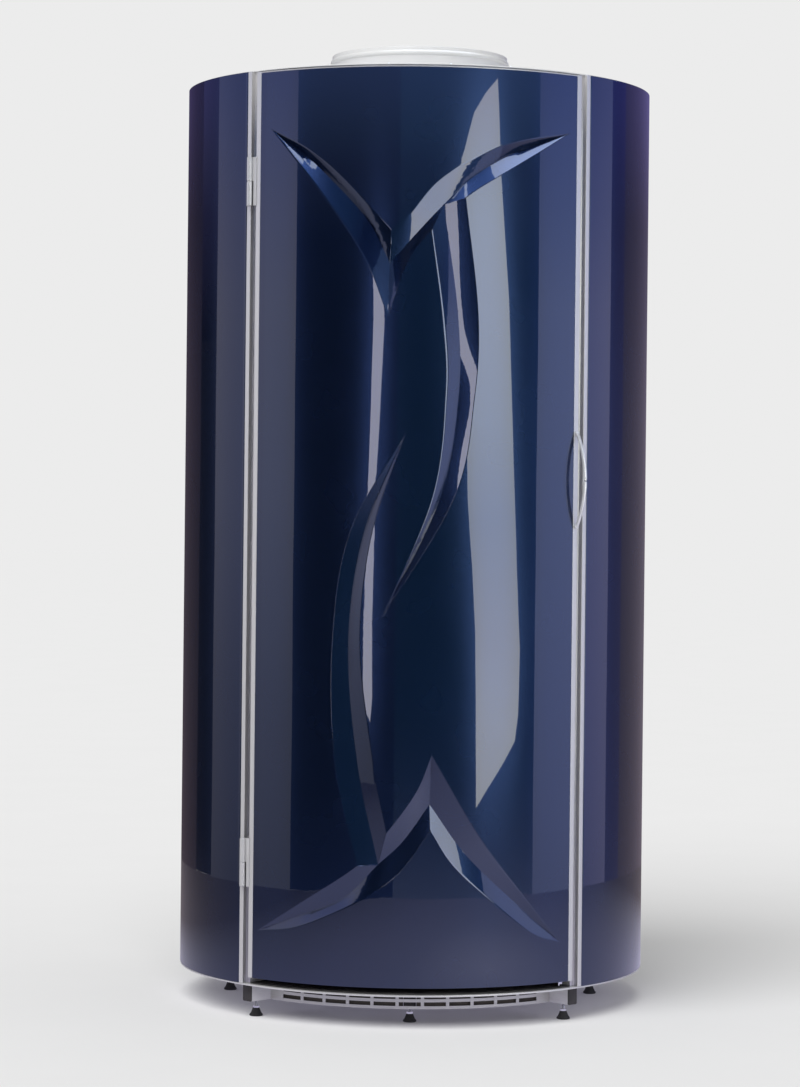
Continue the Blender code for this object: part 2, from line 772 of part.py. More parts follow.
def make_panels():
    strip = arc_degrees(REAR_STRIP_WIDTH / 2) + GAP_DEGREES
    for name, start, end in sector_list():
        full = "back_panel" if name == "back" else f"side_panel_{name}"
        low, high = sector_span(start, end, GAP_DEGREES, strip)
        place(full, solid_mesh(full, add_panel, low, high), navy_gloss())


def add_roof(bm):
    outer = arc_points(SHELL_RADIUS - ROOF_INSET, 0.0, 360.0)[:-1]
    inner = arc_points(FAN_OPENING, 0.0, 360.0)[:-1]
    add_prism(bm, outer, ROOF_BOTTOM, ROOF_TOP, inner)


def make_roof():
    place("roof_plate", solid_mesh("roof_plate", add_roof), white_enamel())


# Fan

def add_cowl(bm):
    bead = COWL_TOP - COWL_BEAD_DROP
    foot = COWL_BOTTOM + COWL_WALL
    profile = [
        (COWL_BORE, COWL_BOTTOM), (COWL_RADIUS + COWL_FLANGE, COWL_BOTTOM),
        (COWL_RADIUS + COWL_FLANGE, foot), (COWL_RADIUS, foot),
        (COWL_RADIUS, bead - COWL_BEAD), (COWL_RADIUS + COWL_BEAD, bead),
        (COWL_RADIUS, bead + COWL_BEAD), (COWL_RADIUS, COWL_TOP), (COWL_BORE, COWL_TOP),
    ]
    add_lathe(bm, profile, COWL_SEGMENTS, closed=True)


def add_ceiling_guard(bm):
    radius = FAN_OPENING + GUARD_OVERLAP
    ring = (radius - GUARD_OVERLAP - GUARD_HUB) / GUARD_RINGS
    rows = [GUARD_HUB / 2, GUARD_HUB]
    for k in range(GUARD_RINGS):
        rows += [GUARD_HUB + (k + 1) * ring - GUARD_RIB, GUARD_HUB + (k + 1) * ring]
    rows.append(radius)
    sector = 360.0 / GUARD_SECTORS
    columns = []
    for k in range(GUARD_SECTORS):
        start = k * sector
        columns += [start, start + GUARD_SPOKE, start + GUARD_SPOKE + (sector - GUARD_SPOKE) / 2]
    columns.append(360.0)
    top = ROOF_BOTTOM - SEAT_GAP

    def solid(i, j):
        return i % 2 == 0 or i == len(rows) - 2 or j % 3 == 0

    def spot(r, angle, side):
        return polar(r, angle, top - side * GUARD_SHEET)

    add_cell_plate(bm, rows, columns, solid, spot, wraps=True)


def add_motor(bm):
    low = COWL_BOTTOM + MOTOR_LIFT
    shaft = COWL_BOTTOM + COWL_WALL
    profile = [(0, shaft), (SHAFT_RADIUS, shaft), (SHAFT_RADIUS, low), (MOTOR_RADIUS, low)]
    profile += [(MOTOR_RADIUS, low + MOTOR_HEIGHT), (0, low + MOTOR_HEIGHT)]
    add_lathe(bm, profile, HUB_SEGMENTS)


def add_motor_arms(bm):
    flat_bore = COWL_BORE * math.cos(math.pi / COWL_SEGMENTS)
    length = math.sqrt(flat_bore ** 2 - (ARM_WIDTH / 2) ** 2) - SEAT_GAP
    level = COWL_BOTTOM + MOTOR_LIFT + MOTOR_HEIGHT / 2
    for k in range(ARM_COUNT):
        turn = Matrix.Rotation(2 * math.pi * k / ARM_COUNT, 4, "Z")
        size = (length - MOTOR_RADIUS / 2, ARM_WIDTH, ARM_THICKNESS)
        middle = (length + MOTOR_RADIUS / 2) / 2
        add_box(bm, size, turn @ Matrix.Translation((middle, 0, level)))


def add_impeller_hub(bm):
    bore = SHAFT_RADIUS + SEAT_GAP
    profile = band(bore, IMPELLER_HUB, 0.0, IMPELLER_HEIGHT)
    add_lathe(bm, profile, HUB_SEGMENTS, closed=True)


def add_blades(bm):
    tip = COWL_BORE - IMPELLER_TIP_GAP
    root = IMPELLER_HUB - 2 * BLADE_THICKNESS
    for k in range(BLADE_COUNT):
        turn = Matrix.Rotation(2 * math.pi * k / BLADE_COUNT, 4, "Z")
        points = []
        for i in range(BLADE_STEPS + 1):
            share = i / BLADE_STEPS
            r = root + (tip - root) * share
            pitch = math.radians(BLADE_PITCH_ROOT + (BLADE_PITCH_TIP - BLADE_PITCH_ROOT) * share)
            tilt = Matrix.Rotation(pitch, 4, "X")
            half = BLADE_CHORD / 2
            thick = BLADE_THICKNESS / 2
            for y, z in ((-half, -thick), (half, -thick), (half, thick), (-half, thick)):
                points.append(turn @ (Vector((r, 0, IMPELLER_HEIGHT / 2)) + tilt @ Vector((0, y, z))))
        faces = [(3, 2, 1, 0), tuple(4 * BLADE_STEPS + i for i in range(4))]
        for i in range(BLADE_STEPS):
            for j in range(4):
                m = (j + 1) % 4
                faces.append((4 * i + j, 4 * i + m, 4 * i + 4 + m, 4 * i + 4 + j))
        add_faces(bm, points, faces)


def add_gland(bm):
    low = ROOF_TOP + SEAT_GAP
    hex_top = low + GLAND_HEIGHT / 2
    top = low + GLAND_HEIGHT
    neck = (GLAND_RADIUS + GLAND_BORE) / 2
    profile = [(GLAND_BORE, low), (GLAND_RADIUS, low), (GLAND_RADIUS, hex_top)]
    profile += [(neck, top), (GLAND_BORE, top)]
    add_lathe(bm, profile, ROUND_SEGMENTS, (0.0, SHELL_RADIUS - GLAND_SETBACK), closed=True)


def make_fan():
    place("fan_cowl", solid_mesh("fan_cowl", add_cowl), white_enamel())
    place("ceiling_guard", solid_mesh("ceiling_guard", add_ceiling_guard), white_enamel())
    motor = solid_mesh("motor", add_motor)
    arms = solid_mesh("arms", add_motor_arms)
    place("fan_motor", fused_mesh("fan_motor", motor, joined=[arms]), painted_steel())
    hub = solid_mesh("hub", add_impeller_hub)
    blades = solid_mesh("blades", add_blades)
    axis = pivot("fan_axis", (0.0, 0.0, COWL_BOTTOM + COWL_WALL + SEAT_GAP))
    impeller = fused_mesh("fan_impeller", hub, joined=[blades])
    place("fan_impeller", impeller, black_plastic(), axis, axis.location)
    place("inlet_gland", solid_mesh("inlet_gland", add_gland), black_plastic())


# Lamp walls, fixed and in the door

def lamp_angles(start, end, count):
    middle = (start + end) / 2
    return [middle + (k - (count - 1) / 2) * LAMP_PITCH for k in range(count)]


def add_lamps(bm, angles, radius, low, high):
    for angle in angles:
        add_cylinder(bm, radius, low, high, LAMP_SEGMENTS, polar(LAMP_CIRCLE, angle).xy)


def lamp_bank_mesh(name, start, end, count, low, high):
    """Two holder rails joined by hollow lamp tubes."""
    def add_holders(bm):
        add_arc_sweep(bm, band(HOLDER_INNER, HOLDER_OUTER, low, low + HOLDER_HEIGHT), start, end)
        add_arc_sweep(bm, band(HOLDER_INNER, HOLDER_OUTER, high - HOLDER_HEIGHT, high), start, end)

    angles = lamp_angles(start, end, count)
    tube = (low + HOLDER_HEIGHT / 2, high - HOLDER_HEIGHT / 2)
    bore = (tube[0] + LAMP_WALL, high + HOLDER_HEIGHT)
    holders = solid_mesh("holders", add_holders)
    tubes = solid_mesh("tubes", add_lamps, angles, LAMP_RADIUS, *tube)
    bores = solid_mesh("bores", add_lamps, angles, LAMP_RADIUS - LAMP_WALL, *bore)
    return fused_mesh(name, holders, joined=[tubes], cut=[bores])


def add_ballasts(bm, middle):
    for row in range(BALLAST_ROWS):
        for column in range(BALLAST_COLUMNS):
            across = (column - (BALLAST_COLUMNS - 1) / 2) * BALLAST_SPACING
            angle = middle + arc_degrees(across, RACK_INNER)
            inner = RACK_INNER + RACK_SHEET / 2
            level = SHELL_BOTTOM + BALLAST_BOTTOM + row * BALLAST_ROW_PITCH + BALLAST_HEIGHT / 2
            spot = polar(inner + BALLAST_DEPTH / 2, angle, level)
            turn = Matrix.Rotation(math.radians(angle), 4, "Z")
            size = (BALLAST_WIDTH, BALLAST_DEPTH, BALLAST_HEIGHT)
            add_box(bm, size, Matrix.Translation(spot) @ turn)


def ballast_rack_mesh(name, middle):
    half = arc_degrees(BALLAST_COLUMNS * BALLAST_SPACING / 2, RACK_INNER)
    low = SHELL_BOTTOM + BALLAST_BOTTOM / 2
    high = low + BALLAST_BOTTOM + (BALLAST_ROWS - 1) * BALLAST_ROW_PITCH + BALLAST_HEIGHT
    sheet = band(RACK_INNER, RACK_INNER + RACK_SHEET, low, high)
    plate = solid_mesh("rack", add_arc_sweep, sheet, middle - half, middle + half)
    ballasts = solid_mesh("ballasts", add_ballasts, middle)
    return fused_mesh(name, plate, joined=[ballasts])


def make_fixed_walls():
    top = SHELL_TOP - SHIELD_TOP_GAP
    web = arc_degrees(REAR_WEB, HOLDER_INNER)
    for name, start, end in sector_list():
        low, high = sector_span(start, end, 2 * GAP_DEGREES, web)
        sheet = band(REFLECTOR_INNER, REFLECTOR_OUTER, SHELL_BOTTOM, top)
        reflector = solid_mesh(f"reflector_{name}", add_arc_sweep, sheet, low, high)
        place(f"reflector_{name}", reflector, mirror_aluminium())
        bank = lamp_bank_mesh(f"lamp_bank_{name}", low, high, LAMPS_FIXED, SHELL_BOTTOM, top - HOLDER_END_GAP)
        place(f"lamp_bank_{name}", bank, lamp_glass())
        rack = ballast_rack_mesh(f"ballast_rack_{name}", (start + end) / 2)
        place(f"ballast_rack_{name}", rack, painted_steel())
        overlap = QUARTER - POST_DOOR_SIDE - GAP_DEGREES
        low, high = sector_span(start, end, -overlap, GAP_DEGREES)
        clear = band(SHIELD_INNER, SHIELD_OUTER, SHELL_BOTTOM, top)
        shield = solid_mesh(f"shield_{name}", add_arc_sweep, clear, low, high)
        place(f"shield_{name}", shield, clear_acrylic())


# Door

def smooth_curve(points, steps):
    """Even samples of a curve that passes through all points."""
    last = len(points) - 1
    curve = []
    for k in range(steps + 1):
        place_on = last * k / steps
        i = min(int(place_on), last - 1)
        t = place_on - i
        p1 = Vector(points[i])
        p2 = Vector(points[i + 1])
        p0 = Vector(points[i - 1]) if i > 0 else 2 * p1 - p2
        p3 = Vector(points[i + 2]) if i + 2 <= last else 2 * p2 - p1
        bend = (2 * p0 - 5 * p1 + 4 * p2 - p3) * t ** 2 + (3 * p1 - p0 - 3 * p2 + p3) * t ** 3
        curve.append((2 * p1 + (p2 - p0) * t + bend) / 2)
    return curve


def relief_half_sizes():
    width = math.radians(SKIN_EDGE) * SHELL_RADIUS - RELIEF_SIDE_MARGIN
    height = (DOOR_TOP - DOOR_BOTTOM) / 2 - RELIEF_END_MARGIN
    return width, height


def groove_lines(groove, steps):
    """Edge, valley and edge of a groove in arc length and height, and the valley's depths."""
    width, height = relief_half_sizes()
    middle = (DOOR_TOP + DOOR_BOTTOM) / 2
    lines = []
    for shares in groove:
        points = [(u * width, middle + v * height) for u, v in shares]
        lines.append(smooth_curve(points, steps))
    edge, valley, far_edge = lines
    depths = []
    for a, b, c in zip(edge, valley, far_edge):
        spread = ((a - b).length + (c - b).length) / 2
        depths.append(GROOVE_DEPTH * min(1.0, spread / GROOVE_FULL_WIDTH))
    return lines, depths


def groove_facets(groove, steps):
    """Flat triangles of a groove, each with three points and their depths."""
    lines, depths = groove_lines(groove, steps)
    edge, valley, far_edge = lines
    facets = []
    for side in (edge, far_edge):
        for k in range(steps):
            a, b = (side[k], 0.0), (side[k + 1], 0.0)
            c, d = (valley[k], depths[k]), (valley[k + 1], depths[k + 1])
            facets += [(a, b, d), (a, d, c)]
    return facets


def facet_depth(facet, point):
    (a, da), (b, db), (c, dc) = facet
    area = (b - a).cross(c - a)
    if abs(area) < 1e-12:
        return None
    v = (point - a).cross(c - a) / area
    w = (b - a).cross(point - a) / area
    slack = 1e-6
    if v < -slack or w < -slack or v + w > 1 + slack:
        return None
    return da + (db - da) * v + (dc - da) * w


def relief_depth(grooves, point):
    for facets in grooves:
        found = [depth for depth in (facet_depth(facet, point) for facet in facets) if depth is not None]
        if found:
            return max(found)
    return 0.0


def skin_plan():
    """Points and lines of the unrolled skin: its frame, upright facets and grooves."""
    half = math.radians(SKIN_EDGE) * SHELL_RADIUS
    columns = [math.radians(angle) * SHELL_RADIUS for angle in arc_angles(-SKIN_EDGE, SKIN_EDGE)]
    points = []
    lines = []
    for u in columns:
        lines.append((len(points), len(points) + 1))
        points += [Vector((u, DOOR_BOTTOM)), Vector((u, DOOR_TOP))]
    for z in (DOOR_BOTTOM, DOOR_TOP):
        lines.append((len(points), len(points) + 1))
        points += [Vector((-half, z)), Vector((half, z))]
    for groove in GROOVES:
        curves, _ = groove_lines(groove, GROOVE_STEPS)
        ends = [curve[0] for curve in curves]
        for curve in [*curves, ends]:
            first = len(points)
            points += curve
            lines += [(first + k, first + k + 1) for k in range(len(curve) - 1)]
    return points, lines


def add_door_skin(bm):
    """Moulded sheet: the same relief outside and, one skin deeper, inside."""
    points, lines = skin_plan()
    flat, _, triangles, *_ = delaunay_2d_cdt(points, lines, [], 0, 2e-4)
    grooves = [groove_facets(groove, GROOVE_STEPS) for groove in GROOVES]
    outer = []
    inner = []
    for point in flat:
        radius = SHELL_RADIUS - relief_depth(grooves, point)
        angle = math.degrees(point.x / SHELL_RADIUS)
        outer.append(bm.verts.new(polar(radius, angle, point.y)))
        inner.append(bm.verts.new(polar(radius - DOOR_SKIN, angle, point.y)))
    edges = set()
    for triangle in triangles:
        bm.faces.new([outer[i] for i in triangle])
        bm.faces.new([inner[i] for i in reversed(triangle)])
        edges.update(zip(triangle, [*triangle[1:], triangle[0]]))
    for a, b in sorted(edges):
        if (b, a) not in edges:
            bm.faces.new([outer[b], outer[a], inner[a], inner[b]])


def trim_outline(side, inset):
    def corner(radius, degrees, across):
        return polar(radius, side * degrees).xy + polar(across, side * degrees + 90.0 * side).xy

    return [
        corner(WALL_INNER + inset, TRIM_INNER, inset),
        corner(SHELL_RADIUS - inset, TRIM_INNER, inset),
        corner(SHELL_RADIUS - inset, DOOR_EDGE, -inset),
        corner(WALL_INNER + inset, DOOR_EDGE, -inset),
    ]


def add_door_trim(bm, side):
    add_prism(bm, trim_outline(side, 0.0), DOOR_BOTTOM, DOOR_TOP, trim_outline(side, POST_WALL))


def add_door_rail(bm, base, direction):
    """Channel across the door, open towards the lamps."""
    inner = WALL_INNER
    outer = SHELL_RADIUS - DOOR_SKIN - SHEET_CLEARANCE
    floor = base + direction * RAIL_WALL
    edge = base + direction * RAIL_HEIGHT
    profile = [
        (inner, base), (outer, base), (outer, edge), (outer - RAIL_WALL, edge),
        (outer - RAIL_WALL, floor), (inner + RAIL_WALL, floor), (inner + RAIL_WALL, edge), (inner, edge),
    ]
    end = TRIM_INNER - arc_degrees(SEAT_GAP, inner)
    add_arc_sweep(bm, profile, -end, end)


def handle_angle():
    return (TRIM_INNER + DOOR_EDGE) / 2


def add_handle_rod(bm):
    """Shallow bow between the two studs."""
    rise = HANDLE_PROJECTION - 2 * HANDLE_ROD
    half = HANDLE_LENGTH / 2
    bow = (half ** 2 + rise ** 2) / (2 * rise)
    sweep = math.asin(half / bow)
    base = SHELL_RADIUS + SEAT_GAP + HANDLE_ROD
    path = []
    for k in range(HANDLE_STEPS + 1):
        a = sweep * (2 * k / HANDLE_STEPS - 1)
        level = DOOR_BOTTOM + HANDLE_LOW + half + bow * math.sin(a)
        path.append(polar(base + bow * math.cos(a) - (bow - rise), handle_angle(), level))
    add_rod(bm, path, HANDLE_ROD, ROD_SEGMENTS)


def add_handle_studs(bm):
    turn = polar(1.0, handle_angle()).to_track_quat("Z", "Y").to_matrix().to_4x4()
    for level in (0.0, HANDLE_LENGTH):
        base = polar(SHELL_RADIUS + SEAT_GAP, handle_angle(), DOOR_BOTTOM + HANDLE_LOW + level)
        middle = Matrix.Translation(base) @ turn @ Matrix.Translation((0, 0, HANDLE_STUD_HEIGHT / 2))
        bmesh.ops.create_cone(
            bm, cap_ends=True, segments=ROUND_SEGMENTS, depth=HANDLE_STUD_HEIGHT,
            radius1=HANDLE_STUD_RADIUS, radius2=HANDLE_STUD_RADIUS, matrix=middle)


def add_catch_block(bm):
    top = DOOR_BOTTOM - SEAT_GAP
    spot = polar(SHELL_RADIUS - CATCH_WIDTH, CATCH_ANGLE, top - CATCH_HEIGHT / 2)
    turn = Matrix.Rotation(math.radians(CATCH_ANGLE), 4, "Z")
    add_box(bm, (CATCH_WIDTH, CATCH_WIDTH, CATCH_HEIGHT), Matrix.Translation(spot) @ turn)


def add_catch_pin(bm):
    top = DOOR_BOTTOM - SEAT_GAP - CATCH_HEIGHT / 2
    spot = polar(SHELL_RADIUS - CATCH_WIDTH, CATCH_ANGLE)
    add_cylinder(bm, CATCH_PIN_RADIUS, top - CATCH_PIN_LENGTH, top, ROD_SEGMENTS, spot.xy)


def make_door(axis):
    def on_door(name, mesh, material):
        place(name, mesh, material, axis)

    on_door("door_skin", solid_mesh("door_skin", add_door_skin), navy_gloss())
    for name, side in (("left", -1), ("right", 1)):
        on_door(f"door_trim_{name}", solid_mesh(f"door_trim_{name}", add_door_trim, side), satin_aluminium())
    bottom = solid_mesh("door_bottom_rail", add_door_rail, DOOR_BOTTOM, 1)
    on_door("door_bottom_rail", bottom, satin_aluminium())
    on_door("door_top_rail", solid_mesh("door_top_rail", add_door_rail, DOOR_TOP, -1), satin_aluminium())
    low = DOOR_BOTTOM + RAIL_WALL + SEAT_GAP
    high = DOOR_TOP - RAIL_WALL - SEAT_GAP
    end = TRIM_INNER - arc_degrees(2 * SEAT_GAP, HOLDER_INNER)
    sheet = band(REFLECTOR_INNER, REFLECTOR_OUTER, low, high)
    reflector = solid_mesh("door_reflector", add_arc_sweep, sheet, -end, end)
    on_door("door_reflector", reflector, mirror_aluminium())
    bank = lamp_bank_mesh("door_lamp_bank", -end, end, LAMPS_DOOR, low, high)
    on_door("door_lamp_bank", bank, lamp_glass())
    clear = band(SHIELD_INNER, SHIELD_OUTER, DOOR_BOTTOM, DOOR_TOP)
    shield = solid_mesh("door_shield", add_arc_sweep, clear, -DOOR_EDGE, DOOR_EDGE)
    on_door("door_shield", shield, clear_acrylic())
    rod = solid_mesh("rod", add_handle_rod)
    studs = solid_mesh("studs", add_handle_studs)
    on_door("door_handle", fused_mesh("door_handle", rod, joined=[studs]), bright_steel())
    block = solid_mesh("block", add_catch_block)
    pin = solid_mesh("pin", add_catch_pin)
    on_door("door_catch", fused_mesh("door_catch", block, joined=[pin]), bright_steel())


# Hinges: the lower knuckle and its pin on the post. The upper knuckle is on the door,
# and its leaf goes down beside the lower knuckle and laps the door trim.

def add_leaf(bm, start, end, low, high):
    inner = SHELL_RADIUS + SEAT_GAP
    add_arc_sweep(bm, band(inner, inner + HINGE_LEAF, low, high), start, end)


def make_hinges(axis):
    spot = axis.location.xy
    edge = arc_degrees(HINGE_LEAF_EDGE)
    side = HINGE_ANGLE + arc_degrees(KNUCKLE_RADIUS + HINGE_SLIT)
    lap = arc_degrees(HINGE_LAP) - DOOR_EDGE
    levels = {"upper": SHELL_TOP - HINGE_TOP_DISTANCE, "lower": SHELL_BOTTOM + HINGE_FOOT_DISTANCE}
    half = HINGE_HEIGHT / 2
    for name, level in levels.items():
        low = (level - half, level - SEAT_GAP / 2)
        knuckle = solid_mesh("knuckle", add_cylinder, KNUCKLE_RADIUS, *low, ROUND_SEGMENTS, spot)
        leaf = solid_mesh("leaf", add_leaf, edge - QUARTER, HINGE_ANGLE, *low)
        pin_span = (level - half / 2, level + half - HINGE_PIN_RADIUS)
        pin = solid_mesh("pin", add_cylinder, HINGE_PIN_RADIUS, *pin_span, ROUND_SEGMENTS, spot)
        post_half = fused_mesh(f"hinge_post_{name}", knuckle, joined=[leaf, pin])
        place(f"hinge_post_{name}", post_half, satin_aluminium())
        high = (level + SEAT_GAP / 2, level + half)
        knuckle = solid_mesh("knuckle", add_cylinder, KNUCKLE_RADIUS, *high, ROUND_SEGMENTS, spot)
        leaf = solid_mesh("leaf", add_leaf, HINGE_ANGLE, side, *high)
        tail = solid_mesh("tail", add_leaf, side, lap, level - half, level + half)
        bore_span = (level - half, level + 2 * half)
        bore_radius = HINGE_PIN_RADIUS + HINGE_CLEARANCE
        bore = solid_mesh("bore", add_cylinder, bore_radius, *bore_span, ROUND_SEGMENTS, spot)
        door_half = fused_mesh(f"hinge_door_{name}", knuckle, joined=[leaf, tail], cut=[bore])
        place(f"hinge_door_{name}", door_half, satin_aluminium(), axis)


# Controls inside the cabin

def control_back():
    half = math.asin(CONTROL_WIDTH / 2 / SHIELD_INNER)
    return SHIELD_INNER * math.cos(half) - SHEET_CLEARANCE


def button_spot(step):
    level = CONTROL_LEVEL + step * BUTTON_SPACING / 2
    return polar(control_back() - CONTROL_DEPTH + BUTTON_SINK, CONTROL_ANGLE, level)


def add_control_box(bm):
    spot = polar(control_back() - CONTROL_DEPTH / 2, CONTROL_ANGLE, CONTROL_LEVEL)
    turn = Matrix.Rotation(math.radians(CONTROL_ANGLE), 4, "Z")
    size = (CONTROL_WIDTH, CONTROL_DEPTH, CONTROL_HEIGHT)
    add_box(bm, size, Matrix.Translation(spot) @ turn)
    limit = control_back() - CONTROL_DEPTH / 4
    front = [edge for edge in bm.edges if all(v.co.xy.length < limit for v in edge.verts)]
    bmesh.ops.bevel(bm, geom=front, offset=CONTROL_EDGE, segments=2, affect="EDGES", profile=0.5)


def inward(spot):
    turn = (-polar(1.0, CONTROL_ANGLE)).to_track_quat("Z", "Y")
    return Matrix.Translation(spot) @ turn.to_matrix().to_4x4()


def add_button_wells(bm):
    for step in (-1, 1):
        face = button_spot(step) - polar(BUTTON_SINK, CONTROL_ANGLE)
        radius = BUTTON_RADIUS + BUTTON_CLEARANCE
        bmesh.ops.create_cone(
            bm, cap_ends=True, segments=ROUND_SEGMENTS, radius1=radius, radius2=radius,
            depth=2 * WELL_DEPTH, matrix=inward(face))


def add_button(bm):
    rim = BUTTON_RADIUS / 5
    profile = [(0, 0), (BUTTON_RADIUS, 0), (BUTTON_RADIUS, BUTTON_HEIGHT - rim)]
    profile += [(BUTTON_RADIUS - rim, BUTTON_HEIGHT), (0, BUTTON_HEIGHT)]
    add_lathe(bm, profile, ROUND_SEGMENTS)


def make_controls():
    box = solid_mesh("box", add_control_box)
    wells = solid_mesh("wells", add_button_wells)
    place("control_panel", fused_mesh("control_panel", box, cut=[wells]), black_plastic())
    for name, step, material in (("stop_button", -1, red_plastic()), ("start_button", 1, green_plastic())):
        obj = place(name, solid_mesh(name, add_button), material)
        obj.matrix_world = inward(button_spot(step))


def main():
    for obj in list(bpy.data.objects):
        bpy.data.objects.remove(obj)
    make_chassis()
    make_beam_caps()
    make_feet()
    make_floor()
    make_posts()
    make_panels()
    make_roof()
    make_fan()
    make_fixed_walls()
    hinge_axis = pivot("door_axis", polar(HINGE_RADIUS, HINGE_ANGLE))
    make_door(hinge_axis)
    make_hinges(hinge_axis)
    make_controls()


main()
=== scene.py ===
import math

import bmesh
import bpy
import numpy as np
from mathutils import Matrix, Vector
from mathutils.geometry import delaunay_2d_cdt


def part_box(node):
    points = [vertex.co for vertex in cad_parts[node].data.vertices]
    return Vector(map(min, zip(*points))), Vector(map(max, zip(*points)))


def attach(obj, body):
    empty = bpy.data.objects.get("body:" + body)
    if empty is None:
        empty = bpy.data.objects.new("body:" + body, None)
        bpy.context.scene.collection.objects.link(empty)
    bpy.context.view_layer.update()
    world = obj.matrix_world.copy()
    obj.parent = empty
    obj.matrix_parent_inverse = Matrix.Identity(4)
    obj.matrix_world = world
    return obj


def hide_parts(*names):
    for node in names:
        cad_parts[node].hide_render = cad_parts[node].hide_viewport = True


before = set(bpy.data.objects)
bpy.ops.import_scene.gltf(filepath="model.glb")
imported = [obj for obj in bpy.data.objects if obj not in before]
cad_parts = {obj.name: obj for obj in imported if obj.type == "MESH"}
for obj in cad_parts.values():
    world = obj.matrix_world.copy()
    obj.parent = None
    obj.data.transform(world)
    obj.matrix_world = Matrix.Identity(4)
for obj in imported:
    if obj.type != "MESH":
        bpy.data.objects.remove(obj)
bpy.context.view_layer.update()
print("frame loaded,", len(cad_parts), "nodes")

# sizes that several pieces share, in metres and degrees from the door's middle
booth = {
    "radius": 0.560,
    "quarter": 45.0,      # the posts stand at odd multiples of this angle
    "postWidth": 0.026,
    "stripWidth": 0.0125,
    "rebate": 0.012,
    "doorGap": 0.0035,
    "trimWidth": 0.0142,
    "seat": 0.0003,       # gap between pieces that sit on each other
    "wallInner": 0.4228,
    "lampCircle": 0.455,
}


def arcDegrees(length, radius=booth["radius"]):
    return math.degrees(length / radius)


def heights(node):
    return [corner.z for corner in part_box(node)]


postDoorSide = booth["quarter"] - arcDegrees(booth["postWidth"])
postStripSide = booth["quarter"] - arcDegrees(booth["stripWidth"])
doorEdge = postDoorSide - arcDegrees(booth["doorGap"])
trimInner = doorEdge - arcDegrees(booth["trimWidth"])
skinEdge = trimInner - arcDegrees(booth["seat"])
shellLow, shellHigh = heights("side_panel_left")
doorLow, doorHigh = heights("door_skin")


# mesh making

tiny = 1e-9
paint = {}   # finishes by name


def polar(radius, degrees, z=0.0):
    a = math.radians(degrees)
    return Vector((radius * math.sin(a), -radius * math.cos(a), z))


def arcAngles(start, end, step):
    count = max(1, math.ceil(abs(end - start) / step))
    return [start + (end - start) * k / count for k in range(count + 1)]


def circleTurns(count):
    return [2 * math.pi * k / count for k in range(count)]


def roundCorners(points, radii, steps=3):
    # fillets the corners of a closed outline; radii is one number or one for each corner
    smallestHalf, longestShare, leastReach = 0.05, 0.48, 1e-6
    soft = []
    for i, point in enumerate(points):
        p = Vector(point)
        r = radii[i] if hasattr(radii, "__len__") else radii
        a = Vector(points[i - 1]) - p
        b = Vector(points[(i + 1) % len(points)]) - p
        shorter = min(a.length, b.length)
        reach = 0.0
        if r > 0 and shorter >= tiny:
            half = max(smallestHalf, a.angle(b) / 2)
            reach = min(r / math.tan(half), longestShare * shorter)
        if reach < leastReach:
            soft.append(p)
            continue
        start = p + a.normalized() * reach
        end = p + b.normalized() * reach
        for k in range(steps + 1):
            t = k / steps
            soft.append(start * (1 - t) ** 2 + p * (2 * t * (1 - t)) + end * t ** 2)
    return soft


def addFaces(bm, points, faces):
    verts = [bm.verts.new(p) for p in points]
    for face in faces:
        bm.faces.new([verts[i] for i in face])


def standUp(bm, outline, low, high):
    # upright extrusion of a plan outline
    n = len(outline)
    points = [(p[0], p[1], z) for z in (low, high) for p in outline]
    faces = [(i, (i + 1) % n, n + (i + 1) % n, n + i) for i in range(n)]
    addFaces(bm, points, [*faces, tuple(reversed(range(n))), tuple(range(n, 2 * n))])


def sweepRound(bm, profile, start=0.0, end=360.0, step=1.5):
    # closed profile of radius and height, swept round the cabin's axis
    whole = abs(end - start) >= 359.999
    angles = arcAngles(start, end, step)
    if whole:
        angles = angles[:-1]
    n = len(profile)
    m = len(angles)
    points = [polar(r, a, z) for a in angles for r, z in profile]
    faces = []
    for k in range(m if whole else m - 1):
        q = (k + 1) % m
        for i in range(n):
            j = (i + 1) % n
            faces.append((k * n + i, k * n + j, q * n + j, q * n + i))
    if not whole:
        faces += [tuple(reversed(range(n))), tuple(range((m - 1) * n, m * n))]
    addFaces(bm, points, faces)


def band(inner, outer, low, high, edge=0.0):
    return roundCorners([(inner, low), (outer, low), (outer, high), (inner, high)], edge, 2)


def turnOnAxis(bm, profile, steps, matrix=Matrix(), finish=0):
    # profile of radius and height, from the axis or closed on itself, turned round local Z
    rings = []
    for r, z in profile:
        turns = circleTurns(steps if r > tiny else 1)
        rings.append([bm.verts.new(matrix @ Vector((r * math.cos(a), r * math.sin(a), z))) for a in turns])
    pairs = list(zip(rings, rings[1:]))
    if profile[0][0] > tiny:
        pairs.append((rings[-1], rings[0]))
    for low, high in pairs:
        for k in range(steps):
            q = (k + 1) % steps
            ring = [low[k % len(low)], low[q % len(low)], high[q % len(high)], high[k % len(high)]]
            bm.faces.new(list(dict.fromkeys(ring))).material_index = finish


def joinRings(bm, rings):
    # skin over rings of corners, closed at both ends
    for low, high in zip(rings, rings[1:]):
        for k in range(len(low)):
            q = (k + 1) % len(low)
            bm.faces.new([low[k], low[q], high[q], high[k]])
    bm.faces.new(rings[0][::-1])
    bm.faces.new(rings[-1])


def addBlock(bm, size, matrix, edge, segments=2):
    # box with rounded edges
    made = bmesh.ops.create_cube(bm, size=1.0, matrix=matrix @ Matrix.Diagonal((*size, 1.0)))
    edges = list({e for v in made["verts"] for e in v.link_edges})
    bmesh.ops.bevel(bm, geom=edges, offset=edge, segments=segments, affect="EDGES", profile=0.5)


def turned(spot, degrees):
    return Matrix.Translation(spot) @ Matrix.Rotation(math.radians(degrees), 4, "Z")


